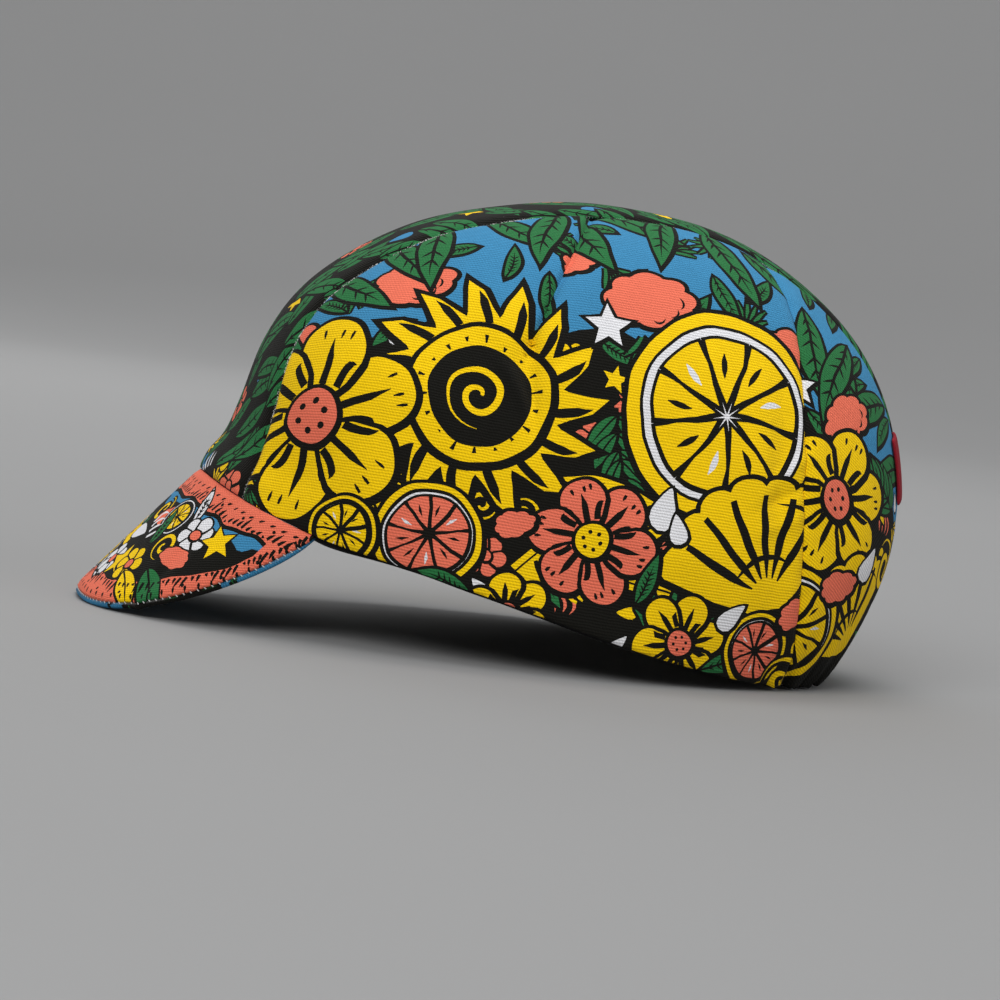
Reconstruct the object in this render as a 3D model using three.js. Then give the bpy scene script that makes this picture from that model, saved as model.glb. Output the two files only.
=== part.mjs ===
// A cotton cycling cap with a short curved peak, in millimetres.
// +Z is up, -Y is the front with the peak, +X is the wearer's left, and the cap rests on z = 0.
import * as THREE from 'three';

// Sizes of the cloth
const PANEL_WALL = 1.2;
const SEAM_GAP = 0.3;
const PEAK_TOP_WALL = 1.5;
const PEAK_UNDER_WALL = 1.2;
const BAND_WALL = 1.2;
const BAND_GAP = 1.1;
const BAND_HEIGHTS = [0, 5, 11, 18, 26];

// The crown is drawn in half sections that all start at one line from side to side through this hub.
const HUB = { y: 5, z: -13.5 };

// angle: from the front over the top to the back, in degrees
// reach: from the hub to the centreline
// halfWidth: from the centreline to the side
// fullness: how much rounder than an ellipse the section is at its shoulder
const CROWN_SECTIONS = [
  { angle: 20, reach: 109.6, halfWidth: 78.0, fullness: 0.16 },
  { angle: 30, reach: 111.6, halfWidth: 78.5, fullness: 0.16 },
  { angle: 36, reach: 112.2, halfWidth: 79.0, fullness: 0.17 },
  { angle: 42, reach: 117.0, halfWidth: 79.5, fullness: 0.18 },
  { angle: 50, reach: 127.2, halfWidth: 80.0, fullness: 0.20 },
  { angle: 60, reach: 136.8, halfWidth: 80.0, fullness: 0.22 },
  { angle: 72, reach: 142.2, halfWidth: 80.5, fullness: 0.22 },
  { angle: 84, reach: 146.2, halfWidth: 81.0, fullness: 0.22 },
  { angle: 96, reach: 149.7, halfWidth: 81.5, fullness: 0.22 },
  { angle: 108, reach: 153.5, halfWidth: 82.0, fullness: 0.22 },
  { angle: 120, reach: 154.4, halfWidth: 82.0, fullness: 0.22 },
  { angle: 132, reach: 150.6, halfWidth: 81.5, fullness: 0.22 },
  { angle: 144, reach: 141.0, halfWidth: 80.5, fullness: 0.20 },
  { angle: 156, reach: 125.5, halfWidth: 78.5, fullness: 0.18 },
  { angle: 168, reach: 107.4, halfWidth: 75.0, fullness: 0.16 },
  { angle: 180, reach: 90.4, halfWidth: 71.0, fullness: 0.15 },
];

// The rim seen from the side, from the middle of the peak's seam to the middle of the back
const RIM = [
  { y: -96.0, z: 44.7 },
  { y: -90.0, z: 41.3 },
  { y: -84.0, z: 38.4 },
  { y: -77.0, z: 35.5 },
  { y: -68.0, z: 32.6 },
  { y: -59.5, z: 30.0 },
  { y: -40.0, z: 26.1 },
  { y: -20.0, z: 22.0 },
  { y: 0.0, z: 17.3 },
  { y: 20.0, z: 12.4 },
  { y: 40.0, z: 7.8 },
  { y: 60.0, z: 3.8 },
  { y: 75.0, z: 1.4 },
  { y: 86.0, z: 0.0 },
  { y: 98.0, z: 0.0 },
  { y: 104.0, z: 0.5 },
  { y: 112.0, z: 1.8 },
];

// Half the centre strip's width, as the turn from the centreline towards the side
const STRIP_EDGE = [
  { angle: 24, turn: 30.5 },
  { angle: 31, turn: 28.0 },
  { angle: 38, turn: 25.4 },
  { angle: 46, turn: 22.0 },
  { angle: 54, turn: 19.0 },
  { angle: 64, turn: 18.0 },
  { angle: 76, turn: 16.6 },
  { angle: 90, turn: 15.2 },
  { angle: 104, turn: 14.0 },
  { angle: 116, turn: 14.2 },
  { angle: 130, turn: 16.2 },
  { angle: 146, turn: 16.2 },
  { angle: 160, turn: 15.4 },
  { angle: 176, turn: 15.0 },
];

// The upright seam between side panel and rear panel, seen from the side
const REAR_SEAM = [
  { z: -4.0, y: 83.8 },
  { z: 4.0, y: 83.0 },
  { z: 12.0, y: 82.2 },
  { z: 24.0, y: 81.4 },
  { z: 40.0, y: 79.9 },
  { z: 62.0, y: 77.8 },
  { z: 84.0, y: 76.5 },
  { z: 100.0, y: 75.0 },
  { z: 110.0, y: 73.4 },
  { z: 118.0, y: 71.0 },
  { z: 124.0, y: 67.6 },
  { z: 130.0, y: 62.0 },
];

// The dart of a side panel, seen from the side, from the strip's edge down to its point
const DART = [
  { y: 12.6, z: 132.3, depth: 0.5 },
  { y: 2.2, z: 114.6, depth: 0.7 },
  { y: -4.0, z: 104.4, depth: 0.8 },
  { y: -7.7, z: 94.0, depth: 1.2 },
];

// Dents and swells of the side panels, seen from the side
// lift: outwards, along: half length, across: half width, lean: turn of the long way from upright in degrees
const SOFT_DENTS = [
  { y: -9, z: 86, lift: -1.7, along: 12, across: 6, lean: 12 },
  { y: -17, z: 94, lift: 0.8, along: 13, across: 6, lean: 25 },
  { y: 3, z: 90, lift: 0.8, along: 14, across: 7, lean: -10 },
  { y: 70, z: 62, lift: -1.3, along: 27, across: 4, lean: 2 },
  { y: 62, z: 60, lift: 0.7, along: 30, across: 5, lean: 2 },
  { y: 66, z: 22, lift: -0.9, along: 16, across: 5, lean: 20 },
  { y: -62, z: 52, lift: -0.9, along: 14, across: 6, lean: -35 },
];

const SEAM_DIP = { depth: 0.7, width: 2.4 };
const PEAK_SEAM_SWELL = { lift: 1.1, height: 7, reach: 6 };
const ELASTIC = { fold: 0.9, spacing: 11, height: 13, front: 62, draw: 1.5 };

// The peak falls straight from its seam. It is longest in the middle and runs out at its two ends.
const PEAK = { dip: 50, length: 52.2, halfSpan: 58.6, fullness: 3.2, ends: 0.6, shortest: 1.6, tuck: 0.3 };

const TAB = { angleTop: 139.5, angleFoot: 147.2, out: 8.5, wall: 1.0 };

const COLOURS = {
  centre_strip: 0x23613a, side_panel: 0xe9bf12, rear_panel: 0xe2b512, peak_top: 0xe8705c,
  peak_under: 0x4a94cf, sweatband: 0x1c1b1a, seam_tab: 0x9a1a26,
};

const rad = (degrees) => (degrees * Math.PI) / 180;
const deg = (radians) => (radians * 180) / Math.PI;
const mix = (a, b, share) => a + (b - a) * share;
const hump = (distance, reach) => Math.exp(-((distance / reach) ** 2));

// A smooth curve through the rows of a table: column over key
function tableCurve(rows, key, column) {
  const at = rows.map((row) => row[key]);
  const value = rows.map((row) => row[column]);
  const last = rows.length - 1;
  const slope = value.map((_, i) => {
    const before = Math.max(i - 1, 0);
    const after = Math.min(i + 1, last);
    return (value[after] - value[before]) / (at[after] - at[before]);
  });
  return (where) => {
    const x = Math.min(Math.max(where, at[0]), at[last]);
    let i = 0;
    while (i < last - 1 && x > at[i + 1]) i += 1;
    const span = at[i + 1] - at[i];
    const t = (x - at[i]) / span;
    const t2 = t * t;
    const t3 = t2 * t;
    return (2 * t3 - 3 * t2 + 1) * value[i] + (t3 - 2 * t2 + t) * span * slope[i]
      + (-2 * t3 + 3 * t2) * value[i + 1] + (t3 - t2) * span * slope[i + 1];
  };
}

const reachAt = tableCurve(CROWN_SECTIONS, 'angle', 'reach');
const halfWidthAt = tableCurve(CROWN_SECTIONS, 'angle', 'halfWidth');
const fullnessAt = tableCurve(CROWN_SECTIONS, 'angle', 'fullness');
const rimHeight = tableCurve(RIM, 'y', 'z');
const stripTurn = tableCurve(STRIP_EDGE, 'angle', 'turn');
const rearSeamY = tableCurve(REAR_SEAM, 'z', 'y');

// The value between low and high where rises(value) turns true
function crossing(low, high, isPast) {
  let a = low;
  let b = high;
  for (let i = 0; i < 46; i += 1) {
    const middle = (a + b) / 2;
    if (isPast(middle)) b = middle; else a = middle;
  }
  return (a + b) / 2;
}

const sectionReach = (angle, turn) => reachAt(angle) * Math.cos(rad(turn)) * (1 + fullnessAt(angle) * Math.sin(rad(turn)) ** 2);

// The smooth crown without dents, from the section's angle and the turn towards the side
function smoothCrown(angle, turn) {
  const reach = sectionReach(angle, turn);
  return {
    x: halfWidthAt(angle) * Math.sin(rad(turn)),
    y: HUB.y - reach * Math.cos(rad(angle)),
    z: HUB.z + reach * Math.sin(rad(angle)),
  };
}

// Section angle and turn of the crown point that is seen at y, z from the side
function seenFromSide(y, z) {
  const angle = deg(Math.atan2(z - HUB.z, HUB.y - y));
  const reach = Math.hypot(y - HUB.y, z - HUB.z);
  return { angle, turn: crossing(0, 90, (turn) => sectionReach(angle, turn) < reach) };
}

// A spot on the crown is held as two numbers, flat like a paper pattern that is spread from the side's middle
const toPattern = ({ angle, turn }) => ({ a: -Math.cos(rad(angle)) * (90 - turn), b: Math.sin(rad(angle)) * (90 - turn) });
const fromPattern = ({ a, b }) => ({ angle: deg(Math.atan2(b, -a)), turn: 90 - Math.hypot(a, b) });
const mixPattern = (p, q, share) => ({ a: mix(p.a, q.a, share), b: mix(p.b, q.b, share) });

// How far a seam is from a spot seen from the side, with the depth of the nearest stretch
function dartDip(y, z) {
  let nearest = { distance: Infinity, depth: 0 };
  for (let i = 0; i + 1 < DART.length; i += 1) {
    const from = DART[i];
    const to = DART[i + 1];
    const dy = to.y - from.y;
    const dz = to.z - from.z;
    const share = Math.min(Math.max(((y - from.y) * dy + (z - from.z) * dz) / (dy * dy + dz * dz), 0), 1);
    const distance = Math.hypot(y - from.y - share * dy, z - from.z - share * dz);
    if (distance < nearest.distance) nearest = { distance, depth: mix(from.depth, to.depth, share) };
  }
  return nearest.depth * hump(nearest.distance, 3);
}

// How far the cloth stands out from the smooth crown: seams, dart, dents, the swell over the peak and the elastic
function clothLift(angle, turn, spot) {
  const { y, z } = spot;
  const x = Math.abs(spot.x);
  const aboveRim = z - rimHeight(y);
  const offStrip = (turn - stripTurn(angle)) * 1.38;
  let lift = -SEAM_DIP.depth * hump(offStrip, SEAM_DIP.width);
  if (offStrip > 0) {
    lift -= SEAM_DIP.depth * hump(y - rearSeamY(z), SEAM_DIP.width);
    lift -= dartDip(y, z);
    for (const dent of SOFT_DENTS) {
      const c = Math.cos(rad(dent.lean));
      const s = Math.sin(rad(dent.lean));
      const along = (z - dent.z) * c - (y - dent.y) * s;
      const across = (y - dent.y) * c + (z - dent.z) * s;
      lift += dent.lift * hump(along, dent.along) * hump(across, dent.across);
    }
  }
  const overPeak = 1 / (1 + Math.exp((y + 60) / 5));
  lift += PEAK_SEAM_SWELL.lift * overPeak * hump(aboveRim - PEAK_SEAM_SWELL.height, PEAK_SEAM_SWELL.reach);
  if (y > ELASTIC.front) {
    const held = Math.min((y - ELASTIC.front) / 20, 1) * Math.exp(-Math.max(aboveRim, 0) / ELASTIC.height);
    lift += held * (ELASTIC.fold * Math.sin((2 * Math.PI * (x - 0.55 * y)) / ELASTIC.spacing) - ELASTIC.draw);
  }
  return lift;
}

// The band inside follows only what the elastic draws in
function bandLift(angle, turn, spot) {
  const aboveRim = Math.max(spot.z - rimHeight(spot.y), 0);
  const held = Math.min(Math.max((spot.y - ELASTIC.front) / 20, 0), 1) * Math.exp(-aboveRim / ELASTIC.height);
  return -held * (ELASTIC.draw + 0.7 * ELASTIC.fold);
}

function smoothAt(pattern) {
  const { angle, turn } = fromPattern(pattern);
  return smoothCrown(angle, turn);
}

function tangentsOf(surface, pattern, step) {
  const along = (da, db) => {
    const after = surface({ a: pattern.a + da, b: pattern.b + db });
    const before = surface({ a: pattern.a - da, b: pattern.b - db });
    return new THREE.Vector3(after.x - before.x, after.y - before.y, after.z - before.z).divideScalar(2 * step);
  };
  return { da: along(step, 0), db: along(0, step) };
}

function smoothNormal(pattern) {
  const { da, db } = tangentsOf(smoothAt, pattern, 0.05);
  return da.cross(db).normalize();
}

// A point of the crown: depth is measured inwards from the outer face
function crownPoint(pattern, depth, liftOf = clothLift) {
  const { angle, turn } = fromPattern(pattern);
  const spot = smoothCrown(angle, turn);
  const out = liftOf(angle, turn, spot) - depth;
  const normal = smoothNormal(pattern);
  return new THREE.Vector3(spot.x + normal.x * out, spot.y + normal.y * out, spot.z + normal.z * out);
}

// The spot that lies height above another, measured up the cloth
function climb(pattern, height) {
  let spot = pattern;
  const steps = 6;
  for (let i = 0; i < steps; i += 1) {
    const { da, db } = tangentsOf(smoothAt, spot, 0.05);
    const normal = da.clone().cross(db).normalize();
    const up = new THREE.Vector3(0, 0, 1).addScaledVector(normal, -normal.z).normalize();
    const aa = da.dot(da);
    const ab = da.dot(db);
    const bb = db.dot(db);
    const ua = up.dot(da);
    const ub = up.dot(db);
    const scale = height / steps / (aa * bb - ab * ab);
    spot = { a: spot.a + (ua * bb - ub * ab) * scale, b: spot.b + (ub * aa - ua * ab) * scale };
  }
  return spot;
}

// Where the rim meets the centreline, in front and at the back
const onCrown = (y) => Math.hypot(y - HUB.y, rimHeight(y) - HUB.z) < reachAt(deg(Math.atan2(rimHeight(y) - HUB.z, HUB.y - y)));
const RIM_FRONT = crossing(-96, -80, onCrown);
const RIM_BACK = crossing(95, 112, (y) => !onCrown(y));
const rimSpot = (y) => seenFromSide(y, rimHeight(y));

// The rim's y where its turn from the centreline is the one asked for
const rimInFront = (turn) => crossing(RIM_FRONT, 0, (y) => rimSpot(y).turn > turn);
const rimBehind = (turn) => crossing(40, RIM_BACK, (y) => rimSpot(y).turn < turn);

const SEAM_TURN = SEAM_GAP / 2 / 1.38;
const FRONT_CORNER = crossing(RIM_FRONT, -60, (y) => rimSpot(y).turn > stripTurn(rimSpot(y).angle) + SEAM_TURN);
const BACK_CORNER = crossing(80, RIM_BACK, (y) => rimSpot(y).turn < stripTurn(rimSpot(y).angle) + SEAM_TURN);

const stripEdge = (angle) => toPattern({ angle, turn: stripTurn(angle) + SEAM_TURN });
const rearEdge = (z, shift) => toPattern(seenFromSide(rearSeamY(z) + shift, z));
const rearSeamTop = (shift) => crossing(100, 129, (z) => {
  const spot = seenFromSide(rearSeamY(z) + shift, z);
  return spot.turn < stripTurn(spot.angle) + SEAM_TURN;
});
const rearSeamFoot = (shift) => crossing(0, 20, (z) => rimHeight(rearSeamY(z) + shift) < z);

// A grid of rows and columns of spots
function spotGrid(rows, columns, spot) {
  return Array.from({ length: rows + 1 }, (_, r) => Array.from({ length: columns + 1 }, (_, c) => spot(r / rows, c / columns)));
}

// The side panel closes to a point at the front, so its columns fan out from there
function sidePanelSpots() {
  const shift = -SEAM_GAP / 2;
  const top = rearSeamTop(shift);
  const foot = rearSeamFoot(shift);
  const firstAngle = rimSpot(FRONT_CORNER).angle;
  const lastAngle = seenFromSide(rearSeamY(top) + shift, top).angle;
  const footY = rearSeamY(foot) + shift;
  return spotGrid(16, 34, (v, u) => {
    const upper = stripEdge(mix(firstAngle, lastAngle, u));
    const lower = toPattern(rimSpot(mix(FRONT_CORNER, footY, u)));
    const back = rearEdge(mix(top, foot, v), shift);
    const backChord = mixPattern(stripEdge(lastAngle), toPattern(rimSpot(footY)), v);
    const spot = mixPattern(upper, lower, v);
    return { a: spot.a + u * (back.a - backChord.a), b: spot.b + u * (back.b - backChord.b) };
  });
}

// The rear panel closes to a point at its top
function rearPanelSpots() {
  const shift = SEAM_GAP / 2;
  const top = rearSeamTop(shift);
  const foot = rearSeamFoot(shift);
  const firstAngle = seenFromSide(rearSeamY(top) + shift, top).angle;
  const lastAngle = rimSpot(BACK_CORNER).angle;
  const footY = rearSeamY(foot) + shift;
  return spotGrid(20, 12, (v, u) => {
    const front = rearEdge(mix(top, foot, v), shift);
    const back = stripEdge(mix(firstAngle, lastAngle, v));
    const rim = toPattern(rimSpot(mix(footY, BACK_CORNER, u)));
    const rimChord = mixPattern(toPattern(rimSpot(footY)), toPattern(rimSpot(BACK_CORNER)), u);
    const spot = mixPattern(front, back, u);
    return { a: spot.a + v * (rim.a - rimChord.a), b: spot.b + v * (rim.b - rimChord.b) };
  });
}

// Makes a closed shell of two faces that share a grid. Grids may close to a point or run round in a ring.
class Shell {
  constructor() {
    this.corners = [];
    this.faces = [];
    this.index = new Map();
  }

  corner(point) {
    const key = [point.x, point.y, point.z].map((v) => Math.round(v * 200)).join(' ');
    if (!this.index.has(key)) {
      this.index.set(key, this.corners.length);
      this.corners.push(point);
    }
    return this.index.get(key);
  }

  triangle(p, q, r) {
    const [i, j, k] = [p, q, r].map((point) => this.corner(point));
    if (i !== j && j !== k && k !== i) this.faces.push(i, j, k);
  }

  // The shorter diagonal keeps a bent quad smooth
  quad(p, q, r, s) {
    if (p.distanceTo(r) <= q.distanceTo(s)) {
      this.triangle(p, q, r);
      this.triangle(p, r, s);
    } else {
      this.triangle(p, q, s);
      this.triangle(q, r, s);
    }
  }

  static between(outer, inner, ring = false) {
    const shell = new Shell();
    const rows = outer.length - 1;
    const columns = outer[0].length - 1;
    for (let r = 0; r < rows; r += 1) {
      for (let c = 0; c < columns; c += 1) {
        shell.quad(outer[r][c], outer[r + 1][c], outer[r + 1][c + 1], outer[r][c + 1]);
        shell.quad(inner[r][c], inner[r][c + 1], inner[r + 1][c + 1], inner[r + 1][c]);
      }
      if (!ring) {
        shell.quad(outer[r][0], inner[r][0], inner[r + 1][0], outer[r + 1][0]);
        shell.quad(outer[r][columns], outer[r + 1][columns], inner[r + 1][columns], inner[r][columns]);
      }
    }
    for (let c = 0; c < columns; c += 1) {
      shell.quad(outer[0][c], outer[0][c + 1], inner[0][c + 1], inner[0][c]);
      shell.quad(outer[rows][c], inner[rows][c], inner[rows][c + 1], outer[rows][c + 1]);
    }
    return shell;
  }

  mirrored() {
    const other = new Shell();
    other.corners = this.corners.map((p) => new THREE.Vector3(-p.x, p.y, p.z));
    for (let i = 0; i < this.faces.length; i += 3) other.faces.push(this.faces[i], this.faces[i + 2], this.faces[i + 1]);
    return other;
  }

  mesh(name, colour) {
    const geometry = new THREE.BufferGeometry();
    geometry.setAttribute('position', new THREE.Float32BufferAttribute(this.corners.flatMap((p) => [p.x, p.y, p.z]), 3));
    geometry.setIndex(this.faces);
    geometry.computeVertexNormals();
    const mesh = new THREE.Mesh(geometry, new THREE.MeshStandardMaterial({ color: colour, roughness: 0.9 }));
    mesh.name = name;
    return mesh;
  }
}

// The rim at the back lies flat on the table between these two places
const FLAT_RIM = { front: 84, back: 100 };

function restOnTable(outer, inner, spots) {
  const rim = spots.length - 1;
  for (let c = 0; c < spots[rim].length; c += 1) {
    const { angle, turn } = fromPattern(spots[rim][c]);
    const { y } = smoothCrown(angle, turn);
    if (y > FLAT_RIM.front && y < FLAT_RIM.back) {
      outer[rim][c].z = 0;
      inner[rim][c].z = 0;
    }
  }
}

function panelShell(spots) {
  const outer = spots.map((row) => row.map((spot) => crownPoint(spot, 0)));
  const inner = spots.map((row) => row.map((spot) => crownPoint(spot, PANEL_WALL)));
  restOnTable(outer, inner, spots);
  return Shell.between(outer, inner);
}

function mirrorX(point) {
  return new THREE.Vector3(-point.x, point.y, point.z);
}

// The strip is drawn from the right edge over the centreline to the left edge
function centreStripShell() {
  const across = 8;
  const along = 42;
  const wall = (depth) => Array.from({ length: across + 1 }, (_, column) => {
    const share = (2 * column) / across - 1;
    const edgeTurn = (angle) => Math.abs(share) * (stripTurn(angle) - SEAM_TURN);
    const start = rimSpot(rimInFront(edgeTurn(rimSpot(FRONT_CORNER).angle))).angle;
    const end = rimSpot(rimBehind(edgeTurn(rimSpot(BACK_CORNER).angle))).angle;
    return Array.from({ length: along + 1 }, (_, row) => {
      const angle = mix(start, end, row / along);
      const point = crownPoint(toPattern({ angle, turn: edgeTurn(angle) }), depth);
      return share < 0 ? mirrorX(point) : point;
    });
  });
  return Shell.between(wall(0), wall(PANEL_WALL));
}

// The seam's line under the crown, from the wearer's right end of the peak to the left end
function peakSeam(share) {
  const x = Math.abs(share) * PEAK.halfSpan;
  const y = crossing(RIM_FRONT, -30, (where) => smoothAt(toPattern(rimSpot(where))).x > x);
  const spot = toPattern(rimSpot(y));
  const point = crownPoint(spot, 0);
  return share < 0 ? mirrorX(point) : point;
}

const PEAK_WAY = new THREE.Vector3(0, -Math.cos(rad(PEAK.dip)), -Math.sin(rad(PEAK.dip)));

function peakLength(share) {
  const fall = Math.max(1 - Math.abs(share) ** PEAK.fullness, 0) ** PEAK.ends;
  return PEAK.shortest + (PEAK.length - PEAK.shortest) * fall;
}

// Points across the peak are closer together near its two ends, where the edge turns
function peakShare(step) {
  return Math.sin((Math.PI / 2) * step * 0.94) / Math.sin((Math.PI / 2) * 0.94);
}

function peakPoint(share, run, depth) {
  const step = 0.004;
  const before = peakSeam(Math.max(share - step, -1));
  const after = peakSeam(Math.min(share + step, 1));
  const normal = PEAK_WAY.clone().cross(after.sub(before)).normalize();
  const seam = peakSeam(share);
  const spread = SEAM_GAP + run * (peakLength(share) - SEAM_GAP);
  const point = seam.addScaledVector(PEAK_WAY, spread).addScaledVector(normal, -(PEAK.tuck + depth));
  point.z = Math.max(point.z, 0);
  return point;
}

function peakShell(from, to) {
  const across = 26;
  const along = 7;
  const wall = (depth) => Array.from({ length: along + 1 }, (_, row) => Array.from(
    { length: across + 1 },
    (_, column) => peakPoint(peakShare((2 * column) / across - 1), row / along, depth),
  ));
  return Shell.between(wall(from), wall(to));
}

// The sweatband stands inside the rim, all the way round
function sweatbandShell() {
  const half = 34;
  const spotsAt = (height) => {
    const near = Array.from({ length: half + 1 }, (_, i) => {
      const swing = (1 - Math.cos((Math.PI * i) / half)) / 2;
      const y = mix(RIM_FRONT, RIM_BACK, mix(i / half, swing, 0.55));
      const underRim = y > -56 && y < 70 ? -0.7 : 0.3;
      return climb(toPattern(rimSpot(y)), height + underRim);
    });
    return near;
  };
  const ringAt = (height, depth) => {
    const near = spotsAt(height).map((spot) => crownPoint(spot, depth, bandLift));
    near[0].x = 0;
    near[half].x = 0;
    for (const point of near) if (height === 0 && point.z < 0.4) point.z = 0.2;
    const far = near.slice(1, half).reverse().map(mirrorX);
    return [...near, ...far, near[0]];
  };
  const from = PANEL_WALL + BAND_GAP;
  const outer = BAND_HEIGHTS.map((height) => ringAt(height, from)).reverse();
  const inner = BAND_HEIGHTS.map((height) => ringAt(height, from + BAND_WALL)).reverse();
  return Shell.between(outer, inner, true);
}

// The small tab is caught in the left rear seam and lies on the rear panel
function seamTabShell() {
  const wall = (depth) => spotGrid(4, 6, (v, u) => {
    const angle = mix(TAB.angleTop, TAB.angleFoot, v);
    const turn = stripTurn(angle) + 2 * SEAM_TURN + (u * TAB.out) / 1.36;
    return crownPoint(toPattern({ angle, turn }), depth);
  });
  const outer = wall(-(SEAM_GAP + TAB.wall)).map((row) => row.reverse());
  const inner = wall(-SEAM_GAP).map((row) => row.reverse());
  return Shell.between(outer, inner);
}

// The cap is moved so that the middle of its box lies over the origin
const BOX_MIDDLE_Y = -2.3;

const cap = new THREE.Group();
cap.name = 'cycling_cap';
cap.position.set(0, -BOX_MIDDLE_Y, 0);

const side = panelShell(sidePanelSpots());
const rear = panelShell(rearPanelSpots());
cap.add(
  centreStripShell().mesh('centre_strip', COLOURS.centre_strip),
  side.mesh('side_panel_left', COLOURS.side_panel),
  side.mirrored().mesh('side_panel_right', COLOURS.side_panel),
  rear.mesh('rear_panel_left', COLOURS.rear_panel),
  rear.mirrored().mesh('rear_panel_right', COLOURS.rear_panel),
  peakShell(0, PEAK_TOP_WALL).mesh('peak_top', COLOURS.peak_top),
  peakShell(PEAK_TOP_WALL + SEAM_GAP, PEAK_TOP_WALL + SEAM_GAP + PEAK_UNDER_WALL).mesh('peak_under', COLOURS.peak_under),
  sweatbandShell().mesh('sweatband', COLOURS.sweatband),
  seamTabShell().mesh('seam_tab', COLOURS.seam_tab),
);

export default cap;
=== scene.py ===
"""A printed cotton cycling cap, built piece by piece round its solid model."""

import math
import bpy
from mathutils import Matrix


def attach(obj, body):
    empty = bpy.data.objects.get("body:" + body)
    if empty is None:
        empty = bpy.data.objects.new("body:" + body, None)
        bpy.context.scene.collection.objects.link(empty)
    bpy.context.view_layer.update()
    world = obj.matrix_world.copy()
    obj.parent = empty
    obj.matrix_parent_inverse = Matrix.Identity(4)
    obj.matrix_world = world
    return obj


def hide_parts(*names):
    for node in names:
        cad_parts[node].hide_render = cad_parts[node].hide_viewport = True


bl_info = {
    "name": "Printed Cycling Cap",
    "version": (1, 0, 0),
    "blender": (4, 5, 0),
    "location": "3D View > Sidebar > Cap",
    "description": "Builds a cotton cycling cap with a printed crown, a short peak and a sweatband",
    "category": "Add Mesh",
}

from collections import namedtuple
from dataclasses import dataclass

import bpy
import numpy as np
from mathutils import Matrix, Vector
from mathutils.geometry import delaunay_2d_cdt

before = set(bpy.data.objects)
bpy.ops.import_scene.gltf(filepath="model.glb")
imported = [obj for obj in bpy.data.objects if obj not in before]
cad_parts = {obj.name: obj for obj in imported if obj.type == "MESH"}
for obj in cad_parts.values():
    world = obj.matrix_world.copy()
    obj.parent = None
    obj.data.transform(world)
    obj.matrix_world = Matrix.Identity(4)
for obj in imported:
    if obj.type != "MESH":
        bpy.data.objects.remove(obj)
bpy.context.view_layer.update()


def linear(red, green, blue):
    """A screen colour, 0 to 255, as the linear colour that a shader reads."""
    share = [value / 255 for value in (red, green, blue)]
    return tuple(v / 12.92 if v <= 0.04045 else ((v + 0.055) / 1.055) ** 2.4 for v in share)


# The print's inks
INKS = {
    "black": linear(16, 15, 10),
    "yellow": linear(250, 206, 2),
    "coral": linear(236, 116, 90),
    "green": linear(40, 112, 62),
    "blue": linear(60, 134, 178),
    "white": linear(228, 228, 231),
}

# The shape of the crown, in millimetres
Section = namedtuple("Section", "angle reach half_width fullness")
RimSpot = namedtuple("RimSpot", "y z")
StripEdge = namedtuple("StripEdge", "angle turn")
SeamSpot = namedtuple("SeamSpot", "z y")
DartSpot = namedtuple("DartSpot", "y z depth")
Dent = namedtuple("Dent", "y z lift along across lean")

# The crown is drawn in half sections that all start at one line from side to side through this hub.
HUB_Y = 5.0
HUB_Z = -13.5

# angle from the front over the top, reach to the centreline, half the width, fullness of the shoulder
CROWN_SECTIONS = [
    Section(20, 109.6, 78.0, 0.16),
    Section(30, 111.6, 78.5, 0.16),
    Section(36, 112.2, 79.0, 0.17),
    Section(42, 117.0, 79.5, 0.18),
    Section(50, 127.2, 80.0, 0.20),
    Section(60, 136.8, 80.0, 0.22),
    Section(72, 142.2, 80.5, 0.22),
    Section(84, 146.2, 81.0, 0.22),
    Section(96, 149.7, 81.5, 0.22),
    Section(108, 153.5, 82.0, 0.22),
    Section(120, 154.4, 82.0, 0.22),
    Section(132, 150.6, 81.5, 0.22),
    Section(144, 141.0, 80.5, 0.20),
    Section(156, 125.5, 78.5, 0.18),
    Section(168, 107.4, 75.0, 0.16),
    Section(180, 90.4, 71.0, 0.15),
]

# The rim seen from the side, from the peak's seam to the back
RIM = [RimSpot(*row) for row in (
    (-96.0, 44.7), (-90.0, 41.3), (-84.0, 38.4), (-77.0, 35.5), (-68.0, 32.6), (-59.5, 30.0),
    (-40.0, 26.1), (-20.0, 22.0), (0.0, 17.3), (20.0, 12.4), (40.0, 7.8), (60.0, 3.8), (75.0, 1.4),
    (86.0, 0.0), (98.0, 0.0), (104.0, 0.5), (112.0, 1.8),
)]

# Half the centre strip's width, as the turn from the centreline towards the side
STRIP_EDGE = [StripEdge(*row) for row in (
    (24, 30.5), (31, 28.0), (38, 25.4), (46, 22.0), (54, 19.0), (64, 18.0), (76, 16.6), (90, 15.2),
    (104, 14.0), (116, 14.2), (130, 16.2), (146, 16.2), (160, 15.4), (176, 15.0),
)]

# The upright seam between side panel and rear panel, seen from the side
REAR_SEAM = [SeamSpot(*row) for row in (
    (-4.0, 83.8), (4.0, 83.0), (12.0, 82.2), (24.0, 81.4), (40.0, 79.9), (62.0, 77.8), (84.0, 76.5),
    (100.0, 75.0), (110.0, 73.4), (118.0, 71.0), (124.0, 67.6), (130.0, 62.0),
)]

# The dart of a side panel, from the strip's edge down to its point
DART = [
    DartSpot(12.6, 132.3, 0.5),
    DartSpot(2.2, 114.6, 0.7),
    DartSpot(-4.0, 104.4, 0.8),
    DartSpot(-7.7, 94.0, 1.2),
]

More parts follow.
